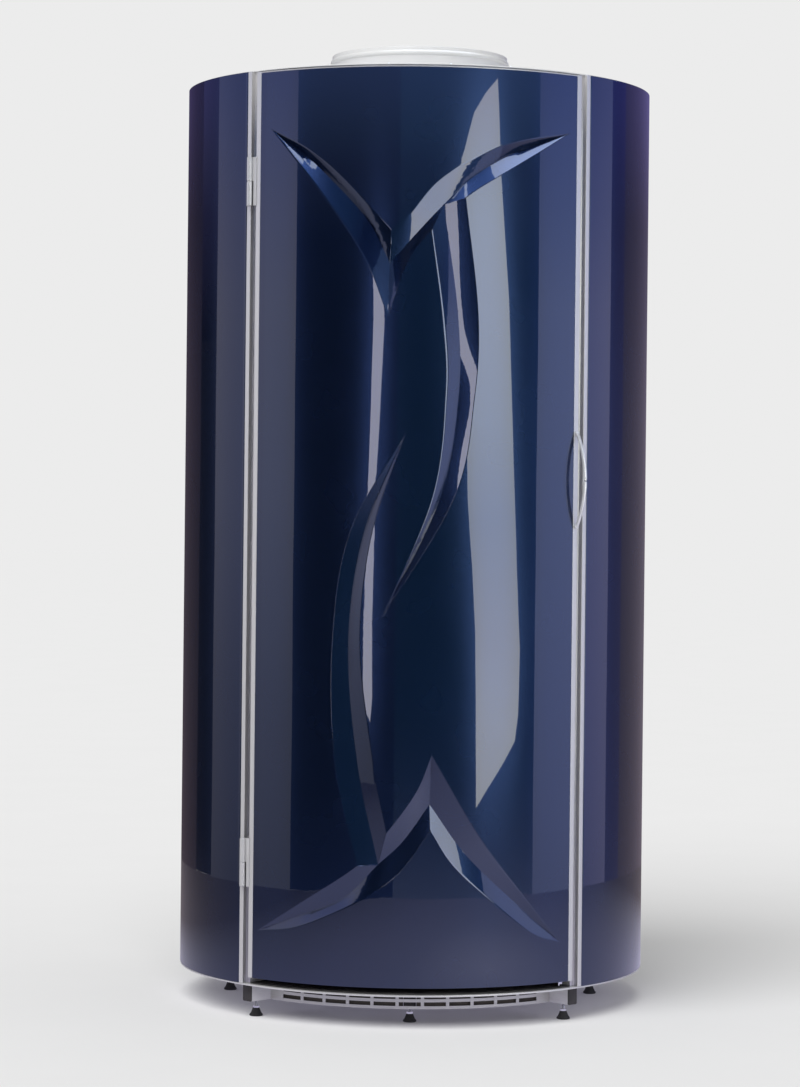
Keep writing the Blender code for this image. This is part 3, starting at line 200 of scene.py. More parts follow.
def facing(direction, spot):
    return Matrix.Translation(spot) @ direction.to_track_quat("Z", "Y").to_matrix().to_4x4()


def middleOf(node):
    low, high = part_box(node)
    return (low.x + high.x) / 2, (low.y + high.y) / 2


def show(name, data):
    obj = bpy.data.objects.new(name, data)
    bpy.context.scene.collection.objects.link(obj)
    return obj


def newPiece(name, bm, finishes, sharp=32.0):
    bmesh.ops.remove_doubles(bm, verts=bm.verts, dist=1e-7)
    bmesh.ops.recalc_face_normals(bm, faces=bm.faces)
    mesh = bpy.data.meshes.new(name)
    bm.to_mesh(mesh)
    bm.free()
    for finish in finishes:
        mesh.materials.append(paint[finish])
    mesh.shade_smooth()
    mesh.set_sharp_from_angle(angle=math.radians(sharp))
    return show(name, mesh)


def settle(obj, body, nodes=(), slot=None):
    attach(obj, body)
    if nodes:
        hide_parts(*nodes)


def makePiece(name, bm, finishes, body, nodes=(), slot=None, sharp=32.0):
    settle(newPiece(name, bm, finishes, sharp), body, nodes, slot)


# finishes

def objectCoords(tree):
    return tree.nodes.new("ShaderNodeTexCoord").outputs["Object"]


def startFinish(name, sockets):
    mat = bpy.data.materials.new(name)
    mat.use_nodes = True
    shader = mat.node_tree.nodes["Principled BSDF"]
    for socket, value in sockets.items():
        shader.inputs[socket].default_value = value
    return mat, mat.node_tree, shader, objectCoords(mat.node_tree)


def grain(tree, where, stretch, detail=3.0, rough=0.55):
    # noise with its own scale along X, Y and Z
    fit = tree.nodes.new("ShaderNodeMapping")
    fit.inputs["Scale"].default_value = stretch
    tree.links.new(where, fit.inputs["Vector"])
    noise = tree.nodes.new("ShaderNodeTexNoise")
    for socket, value in (("Scale", 1.0), ("Detail", detail), ("Roughness", rough)):
        noise.inputs[socket].default_value = value
    tree.links.new(fit.outputs["Vector"], noise.inputs["Vector"])
    return noise.outputs["Fac"]


def stopsAlong(tree, factor, stops, ease="LINEAR"):
    ramp = tree.nodes.new("ShaderNodeValToRGB")
    ramp.color_ramp.interpolation = ease
    for k, (at, colour) in enumerate(stops):
        stop = ramp.color_ramp.elements[k] if k < 2 else ramp.color_ramp.elements.new(at)
        stop.position = at
        stop.color = (*colour, 1.0)
    tree.links.new(factor, ramp.inputs["Fac"])
    return ramp.outputs["Color"]


def mapRange(tree, factor, fromLow, fromHigh, toLow=0.0, toHigh=1.0):
    node = tree.nodes.new("ShaderNodeMapRange")
    ends = {"From Min": fromLow, "From Max": fromHigh, "To Min": toLow, "To Max": toHigh}
    for socket, value in ends.items():
        node.inputs[socket].default_value = value
    tree.links.new(factor, node.inputs["Value"])
    return node.outputs["Result"]


def along(tree, where, axis="Z"):
    split = tree.nodes.new("ShaderNodeSeparateXYZ")
    tree.links.new(where, split.inputs["Vector"])
    return split.outputs[axis]


def awayFrom(tree, factor, value):
    # how far a number is from a value, either way
    less = tree.nodes.new("ShaderNodeMath")
    less.operation = "SUBTRACT"
    less.inputs[1].default_value = value
    tree.links.new(factor, less.inputs[0])
    size = tree.nodes.new("ShaderNodeMath")
    size.operation = "ABSOLUTE"
    tree.links.new(less.outputs[0], size.inputs[0])
    return size.outputs[0]


# sockets: fixed shader values; skin: noise for roughness and dents, and for colour where there is no cloud
# tones: dark and light colour, met at the two spread values
# wave: other noise for the dents, which are as deep as depth
usualSpread = (0.3, 0.7)
paintedLitTopMetal = 0.05   # metal share at the top of a paintedLitTop span, painted light that makes the top paler


def makeFinish(name, look):
    mat, tree, shader, where = startFinish(name, look["sockets"])
    skin = grain(tree, where, *look["skin"])
    if "tones" in look:
        cloud = grain(tree, where, *look["cloud"]) if "cloud" in look else skin
        if "middle" in look:  # colour by the distance from this height
            cloud = awayFrom(tree, along(tree, where), look["middle"])
        stops = zip(look.get("spread", usualSpread), look["tones"])
        colour = stopsAlong(tree, cloud, stops, look.get("ease", "LINEAR"))
        tree.links.new(colour, shader.inputs["Base Color"])
    if "rough" in look:
        tree.links.new(mapRange(tree, skin, *usualSpread, *look["rough"]), shader.inputs["Roughness"])
    if "depth" in look:
        bump = tree.nodes.new("ShaderNodeBump")
        bump.inputs["Strength"].default_value = 1.0
        bump.inputs["Distance"].default_value = look["depth"]
        waves = grain(tree, where, *look["wave"]) if "wave" in look else skin
        tree.links.new(waves, bump.inputs["Height"])
        for socket in look.get("bump", ("Normal",)):
            tree.links.new(bump.outputs["Normal"], shader.inputs[socket])
    if "paintedLitTop" in look:  # painted light: heights over which the bare metal turns paler upward, as if lit from above
        metal = mapRange(tree, along(tree, where), *look["paintedLitTop"], look["sockets"]["Metallic"], paintedLitTopMetal)
        tree.links.new(metal, shader.inputs["Metallic"])
    return mat


def aluminium(stretch, dark=(0.60, 0.595, 0.60), light=(0.70, 0.695, 0.70), rough=(0.36, 0.5), metal=0.45):
    return {"sockets": {"Metallic": metal, "Anisotropic": 0.3}, "skin": (stretch, 4, 0.6),
            "tones": (dark, light), "rough": rough, "depth": 0.00004}


def rubber(dark, light):
    return {"sockets": {"Specular IOR Level": 0.4}, "cloud": ((24, 24, 24), 6, 0.65), "spread": (0.35, 0.75),
            "tones": (dark, light), "skin": ((900, 900, 900), 3), "rough": (0.58, 0.82), "depth": 0.00012}


def buttonPlastic(dark, light):
    return {"sockets": {"Coat Weight": 0.3, "Coat Roughness": 0.1}, "skin": ((700, 700, 700), 2),
            "tones": (dark, light), "rough": (0.3, 0.42), "depth": 0.00004}


looks = {
    "navyLacquer": {
        "sockets": {"Metallic": 0.85, "Coat Weight": 1.0, "Coat Roughness": 0.012, "Coat IOR": 1.6},
        "cloud": ((900, 900, 900), 2), "tones": ((0.0075, 0.0190, 0.062), (0.0100, 0.0245, 0.076)),
        "skin": ((7, 7, 7), 2), "rough": (0.25, 0.28),
        "wave": ((5, 5, 3), 1.5, 0.4), "depth": 0.00045, "bump": ("Normal", "Coat Normal"),
    },
    "uprightAluminium": aluminium((1100, 1100, 5)),
    # painted shade: a darker, more mirror-like copy of the upright aluminium for the recess faces, with
    # painted light at its top
    "rebateShadedAluminium": {
        **aluminium((1100, 1100, 5), (0.54, 0.53, 0.53), (0.62, 0.61, 0.61), (0.26, 0.36), 0.93),
        "paintedLitTop": (doorHigh - 0.15, doorHigh - 0.01),
    },
    "deckAluminium": aluminium((6, 900, 900)),
    "roundAluminium": aluminium((30, 30, 1200), (0.50, 0.49, 0.49), (0.62, 0.61, 0.61)),
    "handleSteel": aluminium((300, 300, 300), (0.72, 0.72, 0.73), (0.82, 0.82, 0.83), (0.34, 0.46), 0.5),
    "whiteEnamel": {
        "sockets": {"Coat Weight": 0.25, "Coat Roughness": 0.18},
        "cloud": ((5, 5, 5), 3), "tones": ((0.76, 0.76, 0.755), (0.83, 0.83, 0.825)),
        "skin": ((420, 420, 420), 2), "rough": (0.32, 0.44), "depth": 0.00006,
    },
    "blackMouldedPlastic": {
        "sockets": {"Specular IOR Level": 0.45},
        "cloud": ((40, 40, 40), 4), "tones": ((0.022, 0.020, 0.019), (0.042, 0.038, 0.036)),
        "skin": ((1400, 1400, 1400), 2), "rough": (0.42, 0.6), "depth": 0.00008,
    },
    "footRubber": rubber((0.011, 0.011, 0.012), (0.030, 0.029, 0.028)),
    "matRubber": rubber((0.028, 0.027, 0.027), (0.060, 0.058, 0.057)),
    # painted shade: the dark sheet seen through the grille's slots
    "shadeSheetFoam": rubber((0.040, 0.034, 0.029), (0.075, 0.065, 0.056)),
    "brightSteel": {
        "sockets": {"Metallic": 1.0}, "skin": ((260, 260, 60), 4),
        "tones": ((0.60, 0.60, 0.61), (0.72, 0.72, 0.73)), "rough": (0.10, 0.22), "depth": 0.00002,
    },
    "greyPaintedSteel": {
        "sockets": {"Metallic": 0.15},
        "cloud": ((8, 8, 8), 4), "tones": ((0.42, 0.415, 0.41), (0.50, 0.495, 0.49)),
        "skin": ((320, 320, 320), 3), "rough": (0.40, 0.52), "depth": 0.00008,
    },
    "clearAcrylic": {
        "sockets": {"Base Color": (0.93, 0.96, 0.97, 1.0), "Transmission Weight": 1.0, "IOR": 1.49},
        "skin": ((30, 30, 6), 5, 0.6), "rough": (0.01, 0.06),
    },
    "lampGlass": {   # phosphor coated tube, greyer towards its ends
        "sockets": {"Coat Weight": 0.7, "Coat Roughness": 0.06, "Roughness": 0.35},
        "middle": (shellLow + shellHigh) / 2, "spread": (0.90, 1.0), "ease": "EASE",
        "tones": ((0.80, 0.80, 0.86), (0.42, 0.40, 0.50)), "skin": ((500, 500, 500), 2), "depth": 0.00001,
    },
    "mirrorSheet": {
        "sockets": {"Metallic": 1.0}, "skin": ((12, 12, 3), 4),
        "tones": ((0.80, 0.80, 0.81), (0.88, 0.88, 0.89)), "rough": (0.06, 0.14), "depth": 0.0003,
    },
    "startGreen": buttonPlastic((0.035, 0.36, 0.10), (0.06, 0.46, 0.14)),
    "stopRed": buttonPlastic((0.46, 0.022, 0.022), (0.60, 0.035, 0.035)),
}
for name, look in looks.items():
    paint[name] = makeFinish(name, look)
print("finishes made")


# geometry nodes: trees are built here, run once and kept as plain meshes

def startTree(name, inputs):
    tree = bpy.data.node_groups.new(name, "GeometryNodeTree")
    tree.interface.new_socket("Geometry", in_out="INPUT", socket_type="NodeSocketGeometry")
    for label, kind in inputs.items():
        tree.interface.new_socket(label, in_out="INPUT", socket_type="NodeSocket" + kind)
    tree.interface.new_socket("Geometry", in_out="OUTPUT", socket_type="NodeSocketGeometry")
    given = tree.nodes.new("NodeGroupInput")
    result = tree.nodes.new("NodeGroupOutput")

    def add(kind, settings=None, out=0, **links):
        # a node with its settings and inputs, by name or as _number; gives the output that is asked for
        node = tree.nodes.new(kind)
        for key, value in (settings or {}).items():
            setattr(node, key, value)
        for label, value in links.items():
            socket = node.inputs[int(label[1:])] if label[0] == "_" else node.inputs[label.replace("_", " ")]
            if isinstance(value, bpy.types.NodeSocket):
                tree.links.new(value, socket)
            else:
                socket.default_value = value
        return node.outputs[out]

    def join(*shapes):
        both = tree.nodes.new("GeometryNodeJoinGeometry")
        for shape in shapes:
            tree.links.new(shape, both.inputs[0])
        return both.outputs[0]

    def end(shape):
        tree.links.new(shape, result.inputs[0])
        return tree

    return add, join, end, given.outputs


def times(add, a, b):
    return add("ShaderNodeMath", {"operation": "MULTIPLY"}, _0=a, _1=b)


def moved(add, shape, **offset):
    return add("GeometryNodeTransform", Geometry=shape, Translation=add("ShaderNodeCombineXYZ", **offset))


def copies(add, points, shape, **more):
    # a copy on every point, made real
    placed = add("GeometryNodeInstanceOnPoints", Points=points, Instance=shape, **more)
    return add("GeometryNodeRealizeInstances", Geometry=placed)


def coated(add, shape, material):
    return add("GeometryNodeSetMaterial", Geometry=shape, Material=material)


def runTree(name, tree, values, points=(), attributes=None, sharp=32.0):
    # points carry vector attributes that the tree reads by name
    attributes = attributes or {}
    mesh = bpy.data.meshes.new(name + "Points")
    mesh.from_pydata([tuple(p) for p in points], [], [])
    for label, data in attributes.items():
        layer = mesh.attributes.new(label, "FLOAT_VECTOR", "POINT")
        layer.data.foreach_set("vector", np.array([tuple(d) for d in data], np.float32).ravel())
    holder = show(name + "Holder", mesh)
    modifier = holder.modifiers.new("tree", "NODES")
    modifier.node_group = tree
    for item in tree.interface.items_tree:
        if item.in_out == "INPUT" and item.name in values:
            modifier[item.identifier] = values[item.name]
    made = bpy.data.meshes.new_from_object(holder.evaluated_get(bpy.context.evaluated_depsgraph_get()))
    holder.modifiers.remove(modifier)
    bpy.data.objects.remove(holder)
    for layer in [a for a in made.attributes if a.name in attributes]:
        made.attributes.remove(layer)
    made.name = name
    made.shade_smooth()
    made.set_sharp_from_angle(angle=math.radians(sharp))
    return show(name, made)


# shares of a screw head's radius and height
screwShares = {"top": 0.66, "socket": 0.46, "socketDepth": 0.90, "flatten": 0.57}
lampEnd = {"capShare": 1.03, "pin": 0.0013, "pinAcross": 0.006}
pipShares = {"top": 0.6, "smallest": 0.9, "largest": 1.05}


def makeScrewTree():
    # round head with a six-sided socket, on every point, along the point's facing; the socket is a solid
    # hexagon in black, painted shade for its hole
    add, join, end, given = startTree("screwHeads", {
        "Head radius": "Float", "Head height": "Float", "Steel": "Material", "Socket": "Material"})
    lookup = add("GeometryNodeInputNamedAttribute", {"data_type": "FLOAT_VECTOR"}, Name="facing")
    turn = add("FunctionNodeAlignRotationToVector", {"axis": "Z"}, Vector=lookup)
    top = times(add, given["Head radius"], screwShares["top"])
    hexagon = times(add, given["Head radius"], screwShares["socket"])
    sink = times(add, given["Head height"], screwShares["socketDepth"])
    head = add("GeometryNodeMeshCone", Vertices=14, Radius_Top=top, Radius_Bottom=given["Head radius"],
               Depth=given["Head height"])
    socket = add("GeometryNodeMeshCone", Vertices=6, Radius_Top=hexagon, Radius_Bottom=hexagon, Depth=sink)
    shallow = add("GeometryNodeTransform", Geometry=moved(add, socket, Z=sink),
                  Scale=(1.0, 1.0, screwShares["flatten"]))
    heads = copies(add, given["Geometry"], head, Rotation=turn)
    sockets = copies(add, given["Geometry"], shallow, Rotation=turn)
    return end(join(coated(add, heads, given["Steel"]), coated(add, sockets, given["Socket"])))


def makeLampTree():
    # one tube with two end caps and four pins on every point, upright
    add, join, end, given = startTree("lampTubes", {
        "Tube radius": "Float", "Tube length": "Float", "Cap length": "Float", "Pin length": "Float",
        "Glass": "Material", "Cap metal": "Material"})
    half = times(add, given["Tube length"], 0.5)
    glass = add("GeometryNodeMeshCylinder", Vertices=28, Radius=given["Tube radius"],
                Depth=given["Tube length"])
    wide = times(add, given["Tube radius"], lampEnd["capShare"])
    cap = add("GeometryNodeMeshCylinder", Vertices=28, Radius=wide, Depth=given["Cap length"])
    pin = add("GeometryNodeMeshCylinder", Vertices=8, Radius=lampEnd["pin"], Depth=given["Pin length"])
    ends = []
    for side in (-1.0, 1.0):
        reach = times(add, half, side)
        tip = add("ShaderNodeMath", {"operation": "MULTIPLY_ADD"}, _0=given["Cap length"], _1=0.5 * side,
                  _2=reach)
        ends.append(moved(add, cap, Z=reach))
        ends += [moved(add, pin, X=way * lampEnd["pinAcross"], Z=tip) for way in (-1, 1)]
    tubes = copies(add, given["Geometry"], glass)
    metal = copies(add, given["Geometry"], join(*ends))
    return end(join(coated(add, tubes, given["Glass"]), coated(add, metal, given["Cap metal"])))


def makePipTree():
    # low round pips on every point, with a slight change of size from a fixed seed
    add, join, end, given = startTree("matPips", {
        "Pip radius": "Float", "Pip height": "Float", "Seed": "Int", "Rubber": "Material"})
    top = times(add, given["Pip radius"], pipShares["top"])
    pip = add("GeometryNodeMeshCone", Vertices=7, Radius_Top=top, Radius_Bottom=given["Pip radius"],
              Depth=given["Pip height"])
    size = add("FunctionNodeRandomValue", {"data_type": "FLOAT"}, 1, _2=pipShares["smallest"],
               _3=pipShares["largest"], Seed=given["Seed"])
    return end(coated(add, copies(add, given["Geometry"], pip, Scale=size), given["Rubber"]))


def makeWireGuardTree():
    # wire rings at an even pitch and spokes across them
    add, join, end, given = startTree("wireGuard", {
        "First ring": "Float", "Ring pitch": "Float", "Rings": "Int", "Spokes": "Int",
        "Wire": "Float", "Spoke start": "Vector", "Spoke end": "Vector", "Level": "Vector",
        "Enamel": "Material"})
    wire = add("GeometryNodeCurvePrimitiveCircle", Resolution=8, Radius=given["Wire"])
    index = add("GeometryNodeInputIndex")
    count = add("GeometryNodeMeshLine", Count=given["Rings"], Offset=(0.0, 0.0, 0.0))
    reach = add("ShaderNodeMath", {"operation": "MULTIPLY_ADD"}, _0=index, _1=given["Ring pitch"],
                _2=given["First ring"])
    circle = add("GeometryNodeCurvePrimitiveCircle", Resolution=96, Radius=1.0)
    rings = copies(add, count, circle, Scale=reach)
    ringWires = add("GeometryNodeCurveToMesh", Curve=rings, Profile_Curve=wire)
    number = add("GeometryNodeMeshLine", Count=given["Spokes"], Offset=(0.0, 0.0, 0.0))
    share = add("ShaderNodeMath", {"operation": "DIVIDE"}, _0=index, _1=given["Spokes"])
    turn = add("ShaderNodeCombineXYZ", Z=times(add, share, 2 * math.pi))
    line = add("GeometryNodeCurvePrimitiveLine", Start=given["Spoke start"], End=given["Spoke end"])
    spokes = copies(add, number, line, Rotation=turn)
    spokeWires = add("GeometryNodeCurveToMesh", Curve=spokes, Profile_Curve=wire, Fill_Caps=True)
    placed = add("GeometryNodeTransform", Geometry=join(ringWires, spokeWires), Translation=given["Level"])
    return end(coated(add, add("GeometryNodeRealizeInstances", Geometry=placed), given["Enamel"]))


screwTree = makeScrewTree()
lampTree = makeLampTree()
pipTree = makePipTree()
wireGuardTree = makeWireGuardTree()


def addScrews(name, spots, directions, radius, height):
    # the sockets' black finish is painted shade for their holes
    heads = runTree(name, screwTree, {
        "Head radius": radius, "Head height": height, "Steel": paint["brightSteel"],
        "Socket": paint["blackMouldedPlastic"]}, spots, {"facing": directions})
    settle(heads, "cabin", slot="bright_steel")


# moulded door skin: a curved sheet with six V grooves that run into each other

doorSkin = {
    "thickness": 0.004,
    "sideMargin": 0.0138,
    "endMargin": 0.091,
    "grooveDepth": 0.016,
    "fullWidth": 0.036,             # a groove at least this wide has its whole depth
    "lineSteps": 84,                # steps along a groove
    "crossSteps": 5,                # steps from its edge to its valley
    "roundRows": (0.3, 0.65, 1.0),  # rows of points over a rounded edge, as shares of it
    "narrow": 0.004,                # faces up to this width get no such rows
    "softLimit": 0.7,               # largest share of a face that is rounded
    "across": 0.012,                # spacing of the fill points
    "upright": 0.022,
    "merge": 1.5e-4,                # nearer points become one
    "slopeStep": 1e-4,
    "cornerPull": 0.12,             # a corner's slope is taken this far towards its triangle's middle
    "lip": 0.003,                   # height of the top rail's lip above the skin
}

# points of the grooves as shares of the relief's half width and half height
topNotch = (-0.157, 0.706)
topValley = (-0.168, 0.627)
topApex = (-0.173, 0.499)
lowApex = (0.115, -0.539)
lowValley = (0.107, -0.660)
lowNotch = (0.110, -0.724)
topMouth = ((0.079, 0.702), (0.157, 0.768), (0.285, 0.783))
lowMouth = ((-0.327, -0.808), (-0.204, -0.805), (-0.149, -0.727))
topLeftTip = (-0.955, 0.956)
topRightTip = (0.979, 0.953)
lowLeftTip = (-1.000, -0.980)
lowRightTip = (0.969, -1.000)
rightCrescentTip = (-0.202, -0.225)
leftCrescentTip = (-0.058, 0.225)
topLeftArm = (
    (topLeftTip, (-0.681, 0.902), (-0.455, 0.831), topNotch),
    (topLeftTip, (-0.652, 0.865), (-0.330, 0.739), topValley),
    (topLeftTip, (-0.610, 0.802), (-0.322, 0.640), topApex),
)
topRightArm = (
    (topRightTip, (0.600, 0.925), (0.381, 0.890), (0.120, 0.825), (-0.040, 0.750), topNotch),
    (topRightTip, (0.592, 0.894), (0.330, 0.833), topMouth[1], (-0.010, 0.698), topValley),
    (topRightTip, (0.531, 0.847), topMouth[2], topMouth[0], (-0.058, 0.628), topApex),
)
lowLeftArm = (
    (lowLeftTip, (-0.681, -0.902), lowMouth[0], lowMouth[2], (0.026, -0.628), lowApex),
    (lowLeftTip, (-0.704, -0.935), (-0.408, -0.883), lowMouth[1], (-0.052, -0.748), lowValley),
    (lowLeftTip, (-0.717, -0.963), (-0.406, -0.912), (-0.196, -0.864), (-0.055, -0.816), lowNotch),
)
lowRightArm = (
    (lowRightTip, (0.723, -0.892), (0.416, -0.738), lowApex),
    (lowRightTip, (0.738, -0.925), (0.351, -0.788), lowValley),
    (lowRightTip, (0.725, -0.964), (0.280, -0.820), lowNotch),
)
rightCrescent = (
    (topMouth[0], (0.152, 0.486), (0.173, 0.318), (0.100, 0.071), rightCrescentTip),
    (topMouth[1], (0.252, 0.507), (0.260, 0.307), (0.149, 0.066), rightCrescentTip),
    (topMouth[2], (0.369, 0.507), (0.351, 0.307), (0.236, 0.071), rightCrescentTip),
)
leftCrescent = (
    (lowMouth[0], (-0.471, -0.565), (-0.495, -0.281), (-0.393, -0.018), leftCrescentTip),
    (lowMouth[1], (-0.340, -0.565), (-0.406, -0.281), (-0.314, -0.018), leftCrescentTip),
    (lowMouth[2], (-0.228, -0.565), (-0.319, -0.281), (-0.254, -0.018), leftCrescentTip),
)
# the crescents come first because they cut through the arms at their mouths; depth is a factor, and soft is
# how wide each edge is rounded, from the groove's start to its end
grooves = (
    {"lines": rightCrescent, "depth": 1.08, "soft": ((0.009, 0.003), (0.002, 0.002))},
    {"lines": leftCrescent, "depth": 1.08, "soft": ((0.003, 0.002), (0.003, 0.002))},
    {"lines": topLeftArm, "depth": 1.1, "soft": ((0.006, 0.004), (0.016, 0.003))},
    {"lines": topRightArm, "depth": 1.12, "soft": ((0.005, 0.004), (0.004, 0.003))},
    {"lines": lowLeftArm, "depth": 1.0, "soft": ((0.005, 0.005), (0.004, 0.002))},
    {"lines": lowRightArm, "depth": 0.82, "soft": ((0.006, 0.005), (0.003, 0.006))},
)


def smoothCurve(points, steps):
    # even samples of a curve through all points
    last = len(points) - 1
    curve = []
    for k in range(steps + 1):
        at = last * k / steps
        i = min(int(at), last - 1)
        t = at - i
        p1 = Vector(points[i])
        p2 = Vector(points[i + 1])
        p0 = Vector(points[i - 1]) if i > 0 else 2 * p1 - p2
        p3 = Vector(points[i + 2]) if i + 2 <= last else 2 * p2 - p1
        bend = (2 * p0 - 5 * p1 + 4 * p2 - p3) * t ** 2 + (3 * p1 - p0 - 3 * p2 + p3) * t ** 3
        curve.append((2 * p1 + (p2 - p0) * t + bend) / 2)
    return curve


def grooveLines(groove):
    # edge, valley and far edge on the flat sheet, and the valley's depths
    halfWidth = math.radians(skinEdge) * booth["radius"] - doorSkin["sideMargin"]
    halfHeight = (doorHigh - doorLow) / 2 - doorSkin["endMargin"]
    middle = (doorHigh + doorLow) / 2
    lines = [smoothCurve([(u * halfWidth, middle + v * halfHeight) for u, v in shares], doorSkin["lineSteps"])
             for shares in groove["lines"]]
    depths = []
    for a, b, c in zip(*lines):
        spread = ((a - b).length + (c - b).length) / 2
        depths.append(groove["depth"] * doorSkin["grooveDepth"] * min(1.0, spread / doorSkin["fullWidth"]))
    return lines, depths


def edgeEase(side, valley, soft):
    # the rounded share of the way from edge to valley, along the groove
    steps = len(side) - 1
    widths = [max(1e-6, (a - b).length) for a, b in zip(side, valley)]
    wanted = [soft[0] + (soft[1] - soft[0]) * k / steps for k in range(steps + 1)]
    return [min(doorSkin["softLimit"], soft / width) for soft, width in zip(wanted, widths)]


def grooveFacets(groove):
    # triangles between edge and valley; each corner has its share of the way, depth and softness
    (edge, valley, farEdge), depths = grooveLines(groove)
    shares = [j / doorSkin["crossSteps"] for j in range(doorSkin["crossSteps"] + 1)]
    facets = []
    for side, soft in zip((edge, farEdge), groove["soft"]):
        ease = edgeEase(side, valley, soft)

        def corner(k, s):
            return (*side[k].lerp(valley[k], s), s, depths[k], ease[k])

        for k in range(len(valley) - 1):
            for s0, s1 in zip(shares, shares[1:]):
                a, b, c, d = corner(k, s0), corner(k + 1, s0), corner(k, s1), corner(k + 1, s1)
                facets += [(a, b, d), (a, d, c)]
    return np.array(facets)


def easedShare(s, f):
    return np.where(s < f, s * s / (2 * np.maximum(f, tiny)), s - f / 2) / (1.0 - f / 2)


allFacets = [grooveFacets(groove) for groove in grooves]


def reliefDepth(points):
    # how far the face sinks at each flat point
    leastArea, slack = 1e-12, 1e-5
    order = np.argsort(points[:, 1], kind="stable")
    u, z = points[order].T
    depth = np.zeros(len(points))
    taken = np.zeros(len(points), bool)
    for facets in allFacets:
        here = np.zeros(len(points))
        found = np.zeros(len(points), bool)
        for facet in facets:
            (ax, ay), (bx, by), (cx, cy) = facet[:, :2]
            area = (bx - ax) * (cy - ay) - (by - ay) * (cx - ax)
            low = np.searchsorted(z, facet[:, 1].min() - 1e-6)
            high = np.searchsorted(z, facet[:, 1].max() + 1e-6)
            if abs(area) < leastArea or low == high:
                continue
            du = u[low:high] - ax
            dz = z[low:high] - ay
            v = (du * (cy - ay) - dz * (cx - ax)) / area
            w = ((bx - ax) * dz - (by - ay) * du) / area
            inside = np.nonzero((v > -slack) & (w > -slack) & (v + w < 1 + slack))[0]
            v = v[inside]
            w = w[inside]
            rest = 1 - v - w
            share, deep, ease = (facet[0, k] * rest + facet[1, k] * v + facet[2, k] * w for k in (2, 3, 4))
            at = inside + low
            here[at] = np.maximum(here[at], deep * easedShare(np.clip(share, 0, 1), ease))
            found[at] = True
        fresh = found & ~taken
        depth[fresh] = here[fresh]
        taken |= found
    result = np.zeros(len(points))
    result[order] = depth
    return result


def skinPlan():
    # points of the flat sheet, and the lines between them that have to be edges
    half = math.radians(skinEdge) * booth["radius"]
    top = doorHigh - doorSkin["lip"]
    points = [(-half, doorLow), (half, doorLow), (half, top), (-half, top)]
    lines = [(0, 1), (1, 2), (2, 3), (3, 0)]
    columns = math.ceil(2 * half / doorSkin["across"])
    rows = math.ceil((top - doorLow) / doorSkin["upright"])
    for i in range(columns + 1):
        for j in range(rows + 1):
            if 0 < j < rows or 0 < i < columns:
                points.append((-half + 2 * half * i / columns, doorLow + (top - doorLow) * j / rows))
    for groove in grooves:
        curves, _ = grooveLines(groove)
        edge, valley, farEdge = curves
        start = [curve[0] for curve in curves]
        end = [curve[-1] for curve in curves]
        for curve in [*curves, start, end]:
            first = len(points)
            points += [tuple(p) for p in curve]
            lines += [(first + k, first + k + 1) for k in range(len(curve) - 1)]
        for side, soft in zip((edge, farEdge), groove["soft"]):
            ease = edgeEase(side, valley, soft)
            wide = [k for k in range(len(valley)) if (valley[k] - side[k]).length > doorSkin["narrow"]]
            for s in doorSkin["roundRows"]:
                first = len(points)
                points += [tuple(side[k].lerp(valley[k], s * ease[k])) for k in wide]
                lines += [(first + i, first + i + 1) for i, k in enumerate(wide[:-1]) if wide[i + 1] == k + 1]
            points += [tuple(side[k].lerp(valley[k], 0.5 + 0.5 * ease[k])) for k in wide]
    return [Vector(p) for p in points], lines


def skinNormals(flat):
    # the face's own slope at flat points, from small steps each way
    h = doorSkin["slopeStep"]
    du = (reliefDepth(flat + (h, 0)) - reliefDepth(flat - (h, 0))) / (2 * h)
    dz = (reliefDepth(flat + (0, h)) - reliefDepth(flat - (0, h))) / (2 * h)
    a = flat[:, 0] / booth["radius"]
    out = np.stack([np.sin(a) + du * np.cos(a), -np.cos(a) + du * np.sin(a), dz], 1)
    return out / np.linalg.norm(out, axis=1, keepdims=True)


def makeDoorSkin():
    points, lines = skinPlan()
    flat, _, triangles, *_ = delaunay_2d_cdt(points, lines, [], 0, doorSkin["merge"])
    flat = np.array([tuple(p) for p in flat])
    tris = np.array(triangles)
    ab = flat[tris[:, 1]] - flat[tris[:, 0]]
    ac = flat[tris[:, 2]] - flat[tris[:, 0]]
    flipped = ab[:, 0] * ac[:, 1] - ab[:, 1] * ac[:, 0] <= 0
    tris[flipped] = tris[flipped][:, ::-1]
    sunk = booth["radius"] - reliefDepth(flat)
    a = flat[:, 0] / booth["radius"]

    def onSkin(radius):
        return np.stack([radius * np.sin(a), -radius * np.cos(a), flat[:, 1]], 1)

    count = len(flat)
    verts = np.concatenate([onSkin(sunk), onSkin(sunk - doorSkin["thickness"])])
    pairs = {(t[k], t[(k + 1) % 3]) for t in tris.tolist() for k in range(3)}
    rim = [(p, q) for p, q in sorted(pairs) if (q, p) not in pairs]
    faces = tris.tolist() + (tris[:, ::-1] + count).tolist() + [(q, p, p + count, q + count) for p, q in rim]
    mesh = bpy.data.meshes.new("doorSkinMoulded")
    mesh.from_pydata(verts.tolist(), [], faces)
    mesh.materials.append(paint["navyLacquer"])
    mesh.shade_smooth()
    pull = doorSkin["cornerPull"]
    centres = flat[tris].mean(1, keepdims=True)
    outer = skinNormals((flat[tris] * (1 - pull) + centres * pull).reshape(-1, 2)).reshape(-1, 3, 3)
    inner = -outer[:, ::-1]
    rimNormals = []
    for p, q in rim:
        edge = Vector(verts[q] - verts[p])
        inward = Vector(verts[p + count] - verts[p])
        rimNormals += [tuple(edge.cross(inward).normalized() * -1)] * 4
    normals = np.concatenate([outer.reshape(-1, 3), inner.reshape(-1, 3), np.array(rimNormals)])
    mesh.normals_split_custom_set(normals.tolist())
    settle(show("doorSkinMoulded", mesh), "door", ["door_skin"], "navy_gloss")
    print("door skin,", len(mesh.polygons), "faces")


makeDoorSkin()


# fixed panels, posts and the door's upright trims

